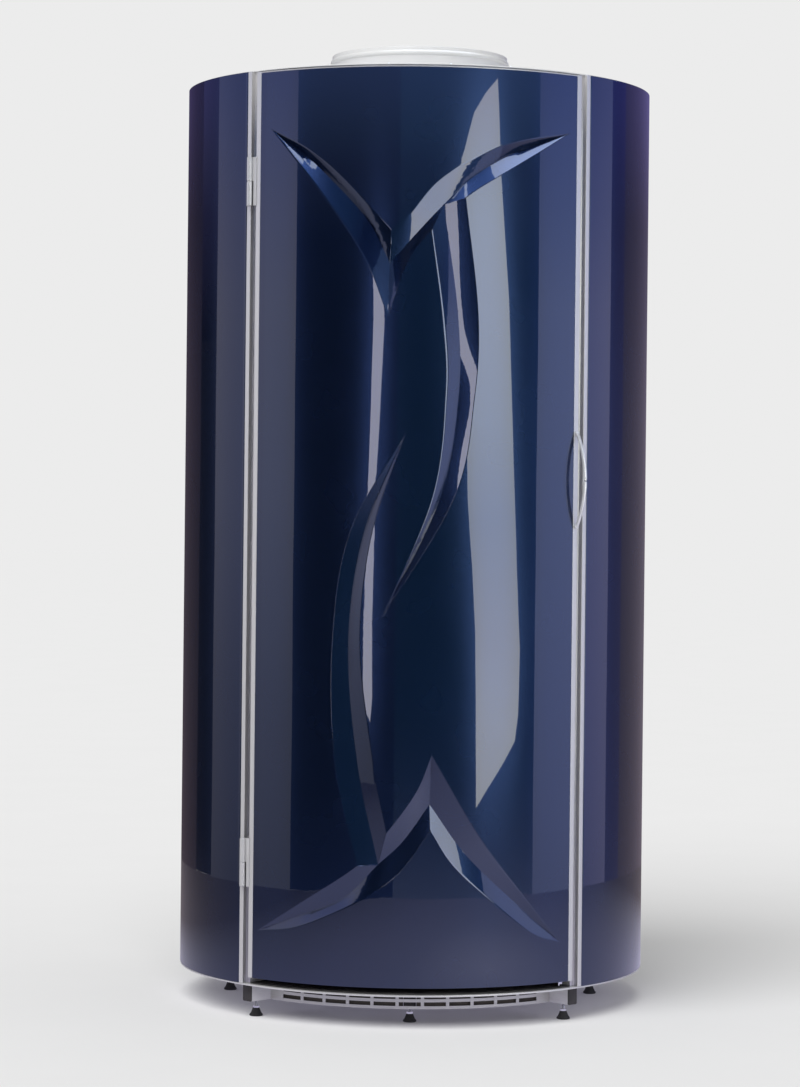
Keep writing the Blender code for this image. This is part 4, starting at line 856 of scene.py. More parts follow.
panel = {"skin": 0.003, "fold": 0.015, "edgeRound": 0.0028, "rearStrip": 0.013}
post = {
    "round": 0.0018, "corner": 0.0022, "fine": 0.001,           # roundings
    "screw": 0.0022, "screwHigh": 0.0013, "screwDrop": 0.079, "screwSink": 0.0002,
    "rebateIn": 0.003, "rebateOut": 0.002,                      # where faces count as the rebate's
    "rearWeb": 0.003, "rearFlange": 0.010, "rearSheet": 0.004, "rearRound": (0.0014, 0.0012),
    "trimRound": 0.0016,
}


def panelOutline(start, end):
    r = booth["radius"]
    lip = r - panel["fold"]
    skin = arcDegrees(panel["skin"])
    arc = [polar(r, a).xy for a in arcAngles(start, end, 0.75)]
    back = [polar(r - panel["skin"], a).xy for a in arcAngles(end - skin, start + skin, 1.5)]
    ends = [polar(lip, a).xy for a in (end, end - skin)]
    starts = [polar(lip, a).xy for a in (start + skin, start)]
    outline = [*arc, *ends, *back, *starts]
    radii = [0.0] * len(outline)
    radii[0] = panel["edgeRound"]
    radii[len(arc) - 1] = panel["edgeRound"]
    return roundCorners(outline, radii, 4)


def makePanels():
    front = arcDegrees(booth["seat"])
    rear = arcDegrees(panel["rearStrip"] / 2) + front
    q = booth["quarter"]
    spans = (
        ("rightPanel", "side_panel_right", q + front, 3 * q - rear),
        ("backPanel", "back_panel", 3 * q + rear, 5 * q - rear),
        ("leftPanel", "side_panel_left", 5 * q + rear, 7 * q - front),
    )
    for name, node, start, end in spans:
        bm = bmesh.new()
        standUp(bm, panelOutline(start, end), shellLow, shellHigh)
        makePiece(name, bm, ["navyLacquer"], "cabin", [node], "navy_gloss", 40)
    print("panels made")


def makeFrontPost(name, side):
    r = booth["radius"]
    floor = r - booth["rebate"]
    strip = [(r, a) for a in arcAngles(postStripSide, booth["quarter"], 0.32)]
    corners = [(booth["wallInner"], postDoorSide), (floor, postDoorSide), (floor, postStripSide), *strip,
               (booth["wallInner"], booth["quarter"])]
    outline = [polar(reach, side * a).xy for reach, a in corners]
    fine = post["fine"]
    soft = [fine, fine, post["corner"], post["round"], *[0.0] * (len(strip) - 2), post["round"], fine]
    bm = bmesh.new()
    standUp(bm, roundCorners(outline, soft), shellLow, shellHigh)
    for face in bm.faces:  # the rebate keeps the smooth face of the extrusion and takes the darker finish, painted shade for the recess
        reach = face.calc_center_median().xy.length
        if floor - post["rebateIn"] < reach < r - post["rebateOut"]:
            face.material_index = 1
    makePiece(f"frontPost{name.title()}", bm, ["uprightAluminium", "rebateShadedAluminium"], "cabin",
              [f"front_post_{name}"], "satin_aluminium")
    middle = side * (postDoorSide + postStripSide) / 2
    spot = polar(floor - post["screwSink"], middle, shellHigh - post["screwDrop"])
    addScrews(f"postScrew{name.title()}", [spot], [polar(1.0, middle)], post["screw"], post["screwHigh"])


def makeRearPost(name, side):
    half = panel["rearStrip"] / 2
    shell = math.sqrt(booth["radius"] ** 2 - half ** 2)
    inner = booth["wallInner"]
    under = -shell + post["rearSheet"]
    flange = -inner - post["rearSheet"]
    rightSide = [(half, -shell), (half, under), (post["rearWeb"], under), (post["rearWeb"], flange),
                 (post["rearFlange"], flange), (post["rearFlange"], -inner)]
    outline = [(0.0, -booth["radius"]), *rightSide, *[(-x, y) for x, y in reversed(rightSide)]]
    soft = [0.0, *post["rearRound"], *[0.0] * 8, *reversed(post["rearRound"])]
    turn = Matrix.Rotation(math.radians(side * 3 * booth["quarter"]), 2)
    bm = bmesh.new()
    standUp(bm, [turn @ Vector(p) for p in roundCorners(outline, soft)], shellLow, shellHigh)
    makePiece(f"rearPost{name.title()}", bm, ["uprightAluminium"], "cabin", [f"rear_post_{name}"],
              "satin_aluminium")


def makeDoorTrim(name, side):
    face = [(booth["radius"], a) for a in arcAngles(trimInner, doorEdge, 0.37)]
    corners = [(booth["wallInner"], trimInner), *face, (booth["wallInner"], doorEdge)]
    soft = [post["fine"], post["trimRound"], *[0.0] * (len(face) - 2), post["trimRound"], post["fine"]]
    bm = bmesh.new()
    standUp(bm, roundCorners([polar(reach, side * a).xy for reach, a in corners], soft), doorLow, doorHigh)
    makePiece(f"doorTrim{name.title()}", bm, ["uprightAluminium"], "door", [f"door_trim_{name}"],
              "satin_aluminium")


makePanels()
for name, side in (("left", -1), ("right", 1)):
    makeFrontPost(name, side)
    makeRearPost(name, side)
    makeDoorTrim(name, side)
print("posts and trims made")


# chassis, end caps, feet, deck, mat and intake grille, with a dark sheet behind the grille as painted shade

chassis = {
    "edge": 0.0016, "longAngles": (43.5, 136.5, -136.5, -43.5), "longReach": 0.547, "shortReach": 0.468,
    "capWidth": 0.028, "capThick": 0.003, "capRound": 0.0042, "capTopRound": 0.0015,
    "capRings": ((-0.0007, 1.0), (-0.0002, 0.985), (0.0, 0.95)),   # depth and size towards the cap's face
    "beamLength": 0.05,   # edges longer than this are a beam's
}


def makeChassis():
    bm = bmesh.new()
    bm.from_mesh(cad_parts["chassis_frame"].data)
    bmesh.ops.remove_doubles(bm, verts=bm.verts, dist=1e-6)
    bmesh.ops.dissolve_limit(bm, angle_limit=math.radians(1), verts=bm.verts, edges=bm.edges)
    levels = heights("chassis_frame")
    edges = [e for e in bm.edges if e.calc_length() > chassis["beamLength"]
             and any(all(abs(v.co.z - level) < 1e-5 for v in e.verts) for level in levels)]
    bmesh.ops.bevel(bm, geom=edges, offset=chassis["edge"], segments=3, affect="EDGES", profile=0.5)
    makePiece("chassisTubes", bm, ["roundAluminium"], "cabin", ["chassis_frame"], "satin_aluminium")


def makeEndCaps():
    low, high = heights("beam_cap_1")
    half = chassis["capWidth"] / 2
    tall = (high - low) / 2
    corners = [(-half, -tall), (half, -tall), (half, tall), (-half, tall)]
    plate = roundCorners(corners, [chassis["capRound"]] * 2 + [chassis["capTopRound"]] * 2, 5)
    bm = bmesh.new()
    ends = [(a, chassis["longReach"]) for a in chassis["longAngles"]]
    ends.append((0.0, chassis["shortReach"]))
    for angle, reach in ends:
        across = polar(1.0, angle + 90.0)
        rings = []
        for depth, size in ((-chassis["capThick"], 1.0), *chassis["capRings"]):
            base = polar(reach + depth, angle, low + tall)
            up = Vector((0, 0, size))
            rings.append([bm.verts.new(base + across * p.x * size + up * p.y) for p in plate])
        joinRings(bm, rings)
    makePiece("beamEndCaps", bm, ["blackMouldedPlastic"], "cabin", [f"beam_cap_{k}" for k in range(1, 6)],
              "black_plastic")


foot = {
    "padRadius": 0.0155, "rim": 0.004, "padHeight": 0.018, "neck": 0.008, "flare": 0.72, "flareSteps": 6,
    "padRound": (0.0012, 0.0010, 0.0008, 0.0006), "stem": 0.004, "stemTop": 0.056, "stemSink": 0.001,
    "thread": 0.00125, "threadDeep": 0.0006, "nutAcross": 0.013, "nutHeight": 0.006, "nutChamfer": 0.0009,
    "nutFlat": 0.9, "crest": 0.45, "stemTaper": 0.001,
    "threadLap": 0.0005,   # the thread starts inside the nut
    "nutTurn": 0.3,        # each nut stands at its own turn
}


def footProfiles():
    f = foot
    inset, rimLow, rimHigh, coneLow = f["padRound"]
    wide = f["padRadius"]
    edge = wide - inset
    coneBase = f["rim"] + coneLow
    pad = [(0, 0), (edge, 0), (wide, rimLow), (wide, f["rim"] - rimHigh), (edge, coneBase)]
    for k in range(1, f["flareSteps"] + 1):
        t = k / f["flareSteps"]
        pad.append((edge + (f["neck"] - edge) * t ** f["flare"], coneBase + (f["padHeight"] - coneBase) * t))
    pad.append((0, f["padHeight"]))
    core = f["stem"] - f["threadDeep"]
    base = f["padHeight"] - f["stemSink"]
    z = f["padHeight"] + f["nutHeight"] - f["threadLap"]
    stem = [(0, base), (core, base), (core, z)]
    while z < f["stemTop"] - 2 * f["thread"]:
        stem += [(f["stem"], z + f["thread"] * f["crest"]), (core, z + f["thread"])]
        z += f["thread"]
    stem += [(f["stem"] - f["stemTaper"], f["stemTop"]), (0, f["stemTop"])]
    low = f["padHeight"] - booth["seat"]
    high = low + f["nutHeight"]
    across = f["nutAcross"] / math.sqrt(3)
    c = f["nutChamfer"]
    flat = across * f["nutFlat"]
    nut = [(0, low), (flat, low), (across, low + c), (across, high - c), (flat, high), (0, high)]
    return pad, stem, nut


def makeFeet():
    pad, stem, nut = footProfiles()
    for k in range(1, 9):
        spot = Matrix.Translation((*middleOf(f"foot_{k}"), 0))
        bm = bmesh.new()
        turnOnAxis(bm, pad, 40, spot)
        turnOnAxis(bm, stem, 20, spot, 1)
        turnOnAxis(bm, nut, 6, spot @ Matrix.Rotation(foot["nutTurn"] * k, 4, "Z"), 1)
        makePiece(f"levellingFoot{k}", bm, ["footRubber", "brightSteel"], f"leg_{k}", [f"foot_{k}"],
                  "black_rubber", 28)


deck = {"radius": 0.5595, "edge": 0.0013, "core": 0.02, "coreLap": 0.001}
floorMat = {
    "front": 0.549, "cabin": 0.4172, "pipPitch": 0.0125, "pipRadius": 0.0030, "pipHeight": 0.0009,
    "pipSink": 0.0001, "margin": 0.007, "sideMargin": 0.8, "seed": 4,
    "rowShare": 0.866,   # row height of an even triangle
}


def pipSpots(level):
    # offset rows of pips, inside the mat's edge
    pitch = floorMat["pipPitch"]
    count = int(floorMat["front"] / pitch) + 1
    spots = []
    for i in range(-count, count + 1):
        for j in range(-count, count + 1):
            x = (i + 0.5 * (j % 2)) * pitch
            y = j * pitch * floorMat["rowShare"]
            inFront = abs(math.degrees(math.atan2(x, -y))) < doorEdge - floorMat["sideMargin"]
            limit = floorMat["front"] if inFront else floorMat["cabin"]
            if math.hypot(x, y) < limit - floorMat["margin"]:
                spots.append((x, y, level))
    return spots


def makeDeckAndMat():
    low, high = heights("floor_deck")
    core = deck["core"] + deck["coreLap"]
    bm = bmesh.new()
    sweepRound(bm, band(deck["core"], deck["radius"], low, high, deck["edge"]), step=1.0)
    turnOnAxis(bm, [(0, low), (core, low), (core, high), (0, high)], 40)
    makePiece("floorDeck", bm, ["deckAluminium"], "cabin", ["floor_deck"], "satin_aluminium")
    low, high = heights("floor_mat")
    plan = [polar(floorMat["front"], a).xy for a in arcAngles(-doorEdge, doorEdge, 1.0)]
    plan += [polar(floorMat["cabin"], a).xy for a in arcAngles(doorEdge, 360.0 - doorEdge, 1.5)]
    bm = bmesh.new()
    standUp(bm, plan, low, high)
    makePiece("floorMat", bm, ["matRubber"], "cabin", ["floor_mat"], "black_rubber")
    spots = pipSpots(high - floorMat["pipSink"])
    pips = runTree("floorMatPips", pipTree, {
        "Pip radius": floorMat["pipRadius"], "Pip height": floorMat["pipHeight"], "Seed": floorMat["seed"],
        "Rubber": paint["matRubber"]}, spots)
    settle(pips, "cabin", slot="black_rubber")
    print("deck and mat,", len(spots), "pips")


# the shadeSheet values place a dark sheet behind the slots, painted shade for the chassis inside
grille = {
    "outer": 0.485, "sheet": 0.002, "slots": 11, "endWidth": 0.035, "bar": 0.0075, "slotHeight": 0.009,
    "midBar": 0.007, "arcParts": 6, "shadeSheet": 0.478, "shadeSheetThick": 0.0015, "shadeSheetRoom": 0.0012,
    "shadeSheetInset": 0.001, "shadeSheetEdge": 0.0004, "shadeSheetEnd": 0.5,
}


def halfBeam(room, radius):
    # angle from a beam's middle to its side plus some room
    return math.degrees(math.asin((chassis["capWidth"] / 2 + room) / radius))


def grilleColumns(end):
    # angles of the sheet's columns, and whether each column is a bar
    g = grille
    bar = arcDegrees(g["bar"], g["outer"])
    pitch = 2 * (end - arcDegrees(g["endWidth"], g["outer"])) / g["slots"]
    cuts = [-end]
    for k in range(g["slots"]):
        centre = (k - (g["slots"] - 1) / 2) * pitch
        cuts += [centre - (pitch - bar) / 2, centre + (pitch - bar) / 2]
    cuts.append(end)
    columns = []
    bars = []
    for k in range(len(cuts) - 1):
        columns += [cuts[k] + (cuts[k + 1] - cuts[k]) * t / g["arcParts"] for t in range(g["arcParts"])]
        bars += [k % 2 == 0] * g["arcParts"]
    return [*columns, end], bars


def makeGrille():
    g = grille
    low, high = heights("intake_grille")
    end = chassis["longAngles"][0] - halfBeam(booth["seat"], g["outer"])
    columns, bars = grilleColumns(end)
    rail = (high - low - 2 * g["slotHeight"] - g["midBar"]) / 2
    steps = [0.0, rail, g["slotHeight"], g["midBar"], g["slotHeight"], rail]
    rows = [low + sum(steps[:i + 1]) for i in range(len(steps))]
    bm = bmesh.new()
    verts = {}

    def vert(i, j, side):
        if (i, j, side) not in verts:
            verts[i, j, side] = bm.verts.new(polar(g["outer"] - side * g["sheet"], columns[j], rows[i]))
        return verts[i, j, side]

    def solid(i, j):
        return 0 <= i < len(rows) - 1 and 0 <= j < len(bars) and (i % 2 == 0 or bars[j])

    for i, j in ((i, j) for i in range(len(rows) - 1) for j in range(len(bars)) if solid(i, j)):
        corners = [(i, j), (i, j + 1), (i + 1, j + 1), (i + 1, j)]
        beside = [(i - 1, j), (i, j + 1), (i + 1, j), (i, j - 1)]
        bm.faces.new([vert(*c, 0) for c in corners])
        bm.faces.new([vert(*c, 1) for c in reversed(corners)])
        for k in range(4):
            if not solid(*beside[k]):
                a, b = corners[k], corners[(k + 1) % 4]
                bm.faces.new([vert(*b, 0), vert(*a, 0), vert(*a, 1), vert(*b, 1)])
    makePiece("intakeGrille", bm, ["roundAluminium"], "cabin", ["intake_grille"], "satin_aluminium")
    # painted shade: a dark sheet just behind the slots stands in for the shade inside the open chassis
    room = halfBeam(g["shadeSheetRoom"], g["shadeSheet"])   # past the middle beam
    sheet = band(g["shadeSheet"] - g["shadeSheetThick"], g["shadeSheet"], low + g["shadeSheetInset"], high - g["shadeSheetInset"],
                 g["shadeSheetEdge"])
    shadeSheetMesh = bmesh.new()
    sweepRound(shadeSheetMesh, sheet, g["shadeSheetEnd"] - end, -room)
    sweepRound(shadeSheetMesh, sheet, room, end - g["shadeSheetEnd"])
    makePiece("intakeShadeSheet", shadeSheetMesh, ["shadeSheetFoam"], "cabin", slot="black_rubber")
    print("grille made")


makeChassis()
makeEndCaps()
makeFeet()
makeDeckAndMat()
makeGrille()


# roof, fan cowl, guard, motor, impeller and cable gland

roof = {
    "outer": 0.553, "hole": 0.204, "edge": 0.0007, "screwCircle": 0.540, "screws": 24, "firstScrew": 7.5,
    "screw": 0.0042, "screwHigh": 0.0018,
}
cowl = {
    "radius": 0.213, "bore": 0.210, "flange": 0.235, "wall": 0.003, "bead": 0.004, "beadDrop": 0.015,
    "beadHalf": 0.005, "beadRoom": 0.006, "beadSteps": 8, "screws": 8, "firstScrew": 22.5, "screwOut": 0.003,
    "lowRounds": (0.0004, 0.0008, 0.0008, 0.004, 0.002), "highRounds": (0.002, 0.0012, 0.0012),
}


def ringSpots(radius, count, z, start):
    return [polar(radius, start + 360.0 * k / count, z) for k in range(count)]


def makeRoof():
    low, roofTop = heights("roof_plate")
    bm = bmesh.new()
    sweepRound(bm, band(roof["hole"], roof["outer"], low, roofTop, roof["edge"]), step=1.0)
    makePiece("roofPlate", bm, ["whiteEnamel"], "cabin", ["roof_plate"], "white_enamel")
    c = cowl
    low, high = heights("fan_cowl")
    bead = high - c["beadDrop"]
    flangeTop = low + c["wall"]
    profile = [(c["bore"], low), (c["flange"], low), (c["flange"], flangeTop), (c["radius"], flangeTop),
               (c["radius"], bead - c["beadRoom"])]
    for a in [math.pi * k / c["beadSteps"] for k in range(1, c["beadSteps"])]:
        profile.append((c["radius"] + c["bead"] * math.sin(a), bead - c["beadHalf"] * math.cos(a)))
    profile += [(c["radius"], bead + c["beadRoom"]), (c["radius"], high), (c["bore"], high)]
    soft = [*c["lowRounds"], *[0.0] * (c["beadSteps"] - 1), *c["highRounds"]]
    bm = bmesh.new()
    sweepRound(bm, roundCorners(profile, soft), step=2.0)
    makePiece("fanCowl", bm, ["whiteEnamel"], "cabin", ["fan_cowl"], "white_enamel", 40)
    spots = ringSpots(roof["screwCircle"], roof["screws"], roofTop, roof["firstScrew"])
    circle = (c["radius"] + c["flange"]) / 2 + c["screwOut"]
    spots += ringSpots(circle, c["screws"], flangeTop, c["firstScrew"])
    addScrews("roofScrews", spots, [Vector((0, 0, 1))] * len(spots), roof["screw"], roof["screwHigh"])


guard = {
    "firstRing": 0.027, "ringPitch": 0.0183, "rings": 11, "spokes": 12, "wire": 0.00148, "spokeStart": 0.024,
    "spokeRoom": 0.004, "hubBore": 0.010, "rim": 0.204, "edge": 0.0008,
}
motor = {
    "radius": 0.045, "height": 0.040, "shaft": 0.006, "boss": 0.018, "bossDrop": 0.002, "lowRound": 0.004,
    "crown": (0.006, 0.008), "fins": 20, "fin": (0.0026, 0.006, 0.026), "finEdge": 0.0006, "finDrop": 0.001,
    "finGap": 14.0, "arms": (90.0, 210.0, 330.0), "armIn": 0.03, "armOut": 0.2072, "armWidth": 0.020,
    "armThick": 0.006, "armEdge": 0.0012,
}
impeller = {
    "bore": 0.0063, "hub": 0.050, "chamfer": 0.004, "blades": 5, "tip": 0.198, "pitch": 16.0, "twist": 5.0,
    "halfChord": 0.031, "halfThick": 0.00125, "camber": 0.0014, "tipStart": 0.86, "tipTaper": 0.7,
    "steps": 18, "sides": 16,
}
gland = {
    "nut": ((0.006, 0), (0.0138, 0), (0.014, 0.001), (0.014, 0.009), (0.0128, 0.010), (0.006, 0.010)),
    "dome": ((0.006, 0.0098), (0.0118, 0.0098), (0.0118, 0.020), (0.0105, 0.026), (0.0082, 0.0298),
             (0.006, 0.0298)),
}


def makeGuard():
    g = guard
    low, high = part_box("ceiling_guard")
    wires = runTree("ceilingGuardWires", wireGuardTree, {
        "First ring": g["firstRing"], "Ring pitch": g["ringPitch"], "Rings": g["rings"],
        "Spokes": g["spokes"], "Wire": g["wire"], "Spoke start": (g["spokeStart"], 0.0, 0.0),
        "Spoke end": (high.x - g["spokeRoom"], 0.0, 0.0), "Level": (0.0, 0.0, (low.z + high.z) / 2),
        "Enamel": paint["whiteEnamel"]}, sharp=60)
    settle(wires, "cabin", ["ceiling_guard"], "white_enamel")
    plate = bmesh.new()
    sweepRound(plate, band(g["hubBore"], g["firstRing"], low.z, high.z, g["edge"]), step=6.0)
    sweepRound(plate, band(g["rim"], high.x, low.z, high.z, g["edge"]), step=2.0)
    makePiece("ceilingGuardRims", plate, ["whiteEnamel"], "cabin", ["ceiling_guard"], "white_enamel")


def makeMotor():
    m = motor
    shaftEnd, high = heights("fan_motor")
    low = high - m["height"]
    r = m["radius"]
    boss = low - m["bossDrop"]
    body = [(0, shaftEnd), (m["shaft"], shaftEnd), (m["shaft"], boss), (m["boss"], boss), (m["boss"], low),
            (r - m["lowRound"], low), (r, low + m["lowRound"]), (r, high - m["crown"][1]),
            (r - m["crown"][0], high), (0, high)]
    bm = bmesh.new()
    turnOnAxis(bm, body, 48)
    middle = (low + high) / 2
    for a in [360.0 * k / m["fins"] for k in range(m["fins"])]:
        if min(abs((a - arm + 180) % 360 - 180) for arm in m["arms"]) >= m["finGap"]:
            addBlock(bm, m["fin"], turned(polar(r, a, middle - m["finDrop"]), a), m["finEdge"])
    size = (m["armWidth"], m["armOut"] - m["armIn"], m["armThick"])
    for a in m["arms"]:
        addBlock(bm, size, turned(polar((m["armOut"] + m["armIn"]) / 2, a, middle), a), m["armEdge"])
    makePiece("fanMotor", bm, ["greyPaintedSteel"], "cabin", ["fan_motor"], "painted_steel")


def bladeRing(t, level):
    # the blade's section at a share of its length
    p = impeller
    root = p["hub"] - p["chamfer"]
    past = max(0.0, (t - p["tipStart"]) / (1 - p["tipStart"]))
    chord = p["halfChord"] * math.sqrt(1 - past ** 2 * p["tipTaper"])
    tilt = Matrix.Rotation(math.radians(p["pitch"] - p["twist"] * t), 4, "X")
    spot = Vector((root + (p["tip"] - root) * t, 0, level))
    ring = []
    for a in circleTurns(p["sides"]):
        y = chord * math.cos(a)
        z = p["halfThick"] * math.sin(a) + p["camber"] * (0.5 - (y / p["halfChord"]) ** 2)
        ring.append(spot + tilt @ Vector((0, y, z)))
    return ring


def makeImpeller():
    p = impeller
    base, top = heights("fan_impeller")
    c = p["chamfer"]
    r = p["hub"]
    hub = [(p["bore"], base), (r - c, base), (r, base + c), (r, top - c), (r - c, top), (p["bore"], top)]
    rotor = bmesh.new()
    turnOnAxis(rotor, hub, 56)
    rings = [bladeRing(i / p["steps"], (base + top) / 2) for i in range(p["steps"] + 1)]
    for a in circleTurns(p["blades"]):
        turn = Matrix.Rotation(a, 4, "Z")
        joinRings(rotor, [[rotor.verts.new(turn @ v) for v in ring] for ring in rings])
    makePiece("fanImpeller", rotor, ["blackMouldedPlastic"], "fan", ["fan_impeller"], "black_plastic", 40)


def makeGland():
    spot = Matrix.Translation((*middleOf("inlet_gland"), heights("inlet_gland")[0]))
    bm = bmesh.new()
    turnOnAxis(bm, gland["nut"], 6, spot)
    turnOnAxis(bm, gland["dome"], 36, spot)
    makePiece("cableGland", bm, ["blackMouldedPlastic"], "cabin", ["inlet_gland"], "black_plastic", 30)


makeRoof()
makeGuard()
makeMotor()
makeImpeller()
makeGland()
print("roof and fan made")


# lamp walls in the cabin and in the door

lampWall = {
    "tubeRadius": 0.019, "pitch": 9.0, "fixed": 10, "door": 9, "holderIn": 0.4325, "holderOut": 0.4775,
    "holderHigh": 0.028, "holderEdge": 0.002, "tubeRoom": 0.004, "capLength": 0.016, "pinLength": 0.022,
    "shieldIn": 0.418, "shieldOut": 0.422, "shieldEdge": 0.0008, "reflectorIn": 0.487, "reflectorOut": 0.489,
    "web": 0.006,
    "collar": ((0.0195, 0), (0.0225, 0), (0.0222, 0.004), (0.0208, 0.0052), (0.0195, 0.0052)),
}
doorRail = {
    "skinRoom": 0.0048, "height": 0.026, "wall": 0.002, "edge": 0.0007, "lipLap": 0.001, "lipEdge": 0.0006,
}


def makeLamps(name, body, nodes, spans, count, low, high):
    # holders with collars, and tubes, over spans of angles
    w = lampWall
    holders = bmesh.new()
    points = []
    for start, end in spans:
        for z in (low, high - w["holderHigh"]):
            section = band(w["holderIn"], w["holderOut"], z, z + w["holderHigh"], w["holderEdge"])
            sweepRound(holders, section, start, end)
        for k in range(count):
            a = (start + end) / 2 + (k - (count - 1) / 2) * w["pitch"]
            points.append(polar(booth["lampCircle"], a, (low + high) / 2))
            for z, way in ((low + w["holderHigh"], 1), (high - w["holderHigh"], -1)):
                collar = [(r, rise * way) for r, rise in w["collar"]]
                turnOnAxis(holders, collar, 24, Matrix.Translation(polar(booth["lampCircle"], a, z)))
    makePiece(name + "LampHolders", holders, ["whiteEnamel"], body, nodes, "white_enamel")
    tubes = runTree(name + "LampTubes", lampTree, {
        "Tube radius": w["tubeRadius"], "Tube length": high - low - w["holderHigh"] - w["tubeRoom"],
        "Cap length": w["capLength"], "Pin length": w["pinLength"], "Glass": paint["lampGlass"],
        "Cap metal": paint["brightSteel"]}, points)
    settle(tubes, body, nodes, "lamp_glass")


def makeReflector(name, body, node, start, end):
    bm = bmesh.new()
    sweepRound(bm, band(lampWall["reflectorIn"], lampWall["reflectorOut"], *heights(node)), start, end, 1.0)
    makePiece(name, bm, ["mirrorSheet"], body, [node], "mirror_aluminium")


def makeShield(name, body, node, start, end):
    w = lampWall
    bm = bmesh.new()
    sweepRound(bm, band(w["shieldIn"], w["shieldOut"], *heights(node), w["shieldEdge"]), start, end, 1.0)
    makePiece(name, bm, ["clearAcrylic"], body, [node], "clear_acrylic")


def makeCabinWalls():
    q = booth["quarter"]
    seat = arcDegrees(booth["seat"])
    web = arcDegrees(lampWall["web"], lampWall["holderIn"])
    overlap = q - postDoorSide - seat   # the shields reach behind the front posts
    spans = []
    walls = {"right": (q, 3 * q), "back": (3 * q, 5 * q), "left": (5 * q, 7 * q)}
    for name, (start, end) in walls.items():
        first = start + (2 * seat if name == "right" else web)
        last = end - (2 * seat if name == "left" else web)
        spans.append((first, last))
        makeReflector(f"reflector{name.title()}", "cabin", f"reflector_{name}", first, last)
        clearStart = start + (-overlap if name == "right" else seat)
        clearEnd = end - (-overlap if name == "left" else seat)
        makeShield(f"shield{name.title()}", "cabin", f"shield_{name}", clearStart, clearEnd)
        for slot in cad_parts[f"ballast_rack_{name}"].material_slots:
            slot.material = paint["greyPaintedSteel"]
    banks = [f"lamp_bank_{name}" for name in walls]
    makeLamps("cabin", "cabin", banks, spans, lampWall["fixed"], *heights("lamp_bank_left"))


def makeDoorWall():
    end = trimInner - arcDegrees(2 * booth["seat"], lampWall["holderIn"])
    makeLamps("door", "door", ["door_lamp_bank"], [(-end, end)], lampWall["door"], *heights("door_lamp_bank"))
    makeReflector("doorReflector", "door", "door_reflector", -end, end)
    makeShield("doorShield", "door", "door_shield", -doorEdge, doorEdge)
    inner = booth["wallInner"]
    outer = booth["radius"] - doorRail["skinRoom"]
    wall = doorRail["wall"]
    end = trimInner - arcDegrees(booth["seat"], inner)
    rails = (
        ("doorBottomRail", "door_bottom_rail", doorLow, 1),
        ("doorTopRail", "door_top_rail", doorHigh, -1),
    )
    for name, node, base, way in rails:
        lip = base + doorRail["height"] * way
        web = base + wall * way
        profile = [(inner, base), (outer, base), (outer, lip), (outer - wall, lip), (outer - wall, web),
                   (inner + wall, web), (inner + wall, lip), (inner, lip)]
        bm = bmesh.new()
        sweepRound(bm, roundCorners(profile, doorRail["edge"], 2), -end, end)
        if base == doorHigh:  # band over the skin's upper edge
            over = band(outer - doorRail["lipLap"], booth["radius"] - booth["seat"],
                        doorHigh - doorSkin["lip"], doorHigh, doorRail["lipEdge"])
            sweepRound(bm, over, -end, end, 1.0)
        makePiece(name, bm, ["roundAluminium"], "door", [node], "satin_aluminium")


makeCabinWalls()
makeDoorWall()
print("lamp walls made")


# hinges, handle and catch

hinge = {
    "radius": 0.567, "angle": arcDegrees(0.0157) - booth["quarter"], "knuckle": 0.0065, "chamfer": 0.0014,
    "leafIn": 0.5603, "leafOut": 0.5625, "edge": 0.0015, "leafRound": 0.0006, "slit": 0.0014, "lap": 0.003,
    "joint": 0.00015,
}


def addHingeHalf(bm, low, high, start, end):
    # knuckle on the hinge's axis and a leaf beside it
    h = hinge
    r = h["knuckle"]
    c = h["chamfer"]
    profile = [(0, low), (r - c, low), (r, low + c), (r, high - c), (r - c, high), (0, high)]
    turnOnAxis(bm, profile, 40, Matrix.Translation(polar(h["radius"], h["angle"])))
    sweepRound(bm, band(h["leafIn"], h["leafOut"], low, high, h["leafRound"]), start, end, 0.4)


def makeHinges():
    h = hinge
    side = h["angle"] + arcDegrees(h["knuckle"] + h["slit"])
    lap = arcDegrees(h["lap"]) - doorEdge
    fixed = bmesh.new()
    moving = bmesh.new()
    for place in ("upper", "lower"):
        bottom = heights(f"hinge_post_{place}")[0]
        top = heights(f"hinge_door_{place}")[1]
        middle = (bottom + top) / 2
        addHingeHalf(fixed, bottom, middle - h["joint"], arcDegrees(h["edge"]) - booth["quarter"], h["angle"])
        addHingeHalf(moving, middle + h["joint"], top, h["angle"], side)
        tail = band(h["leafIn"], h["leafOut"], bottom, top, h["leafRound"])  # beside the post's knuckle too
        sweepRound(moving, tail, side, lap, 0.4)
    makePiece("hingePostHalves", fixed, ["uprightAluminium"], "cabin",
              ["hinge_post_upper", "hinge_post_lower"], "satin_aluminium")
    makePiece("hingeDoorHalves", moving, ["uprightAluminium"], "door",
              ["hinge_door_upper", "hinge_door_lower"], "satin_aluminium")


handle = {
    "low": 1.046, "length": 0.214, "projection": 0.035, "rod": 0.0042, "steps": 56, "sides": 24,
    "stud": 0.0055, "studHeight": 0.007, "studFoot": 0.0006, "studTop": (0.0018, 0.002),
}
catch = {"angle": 38.6, "setback": 0.012, "width": 0.012, "height": 0.006, "edge": 0.0008, "pin": 0.0022,
         "pinPoint": (0.0006, 0.0008)}


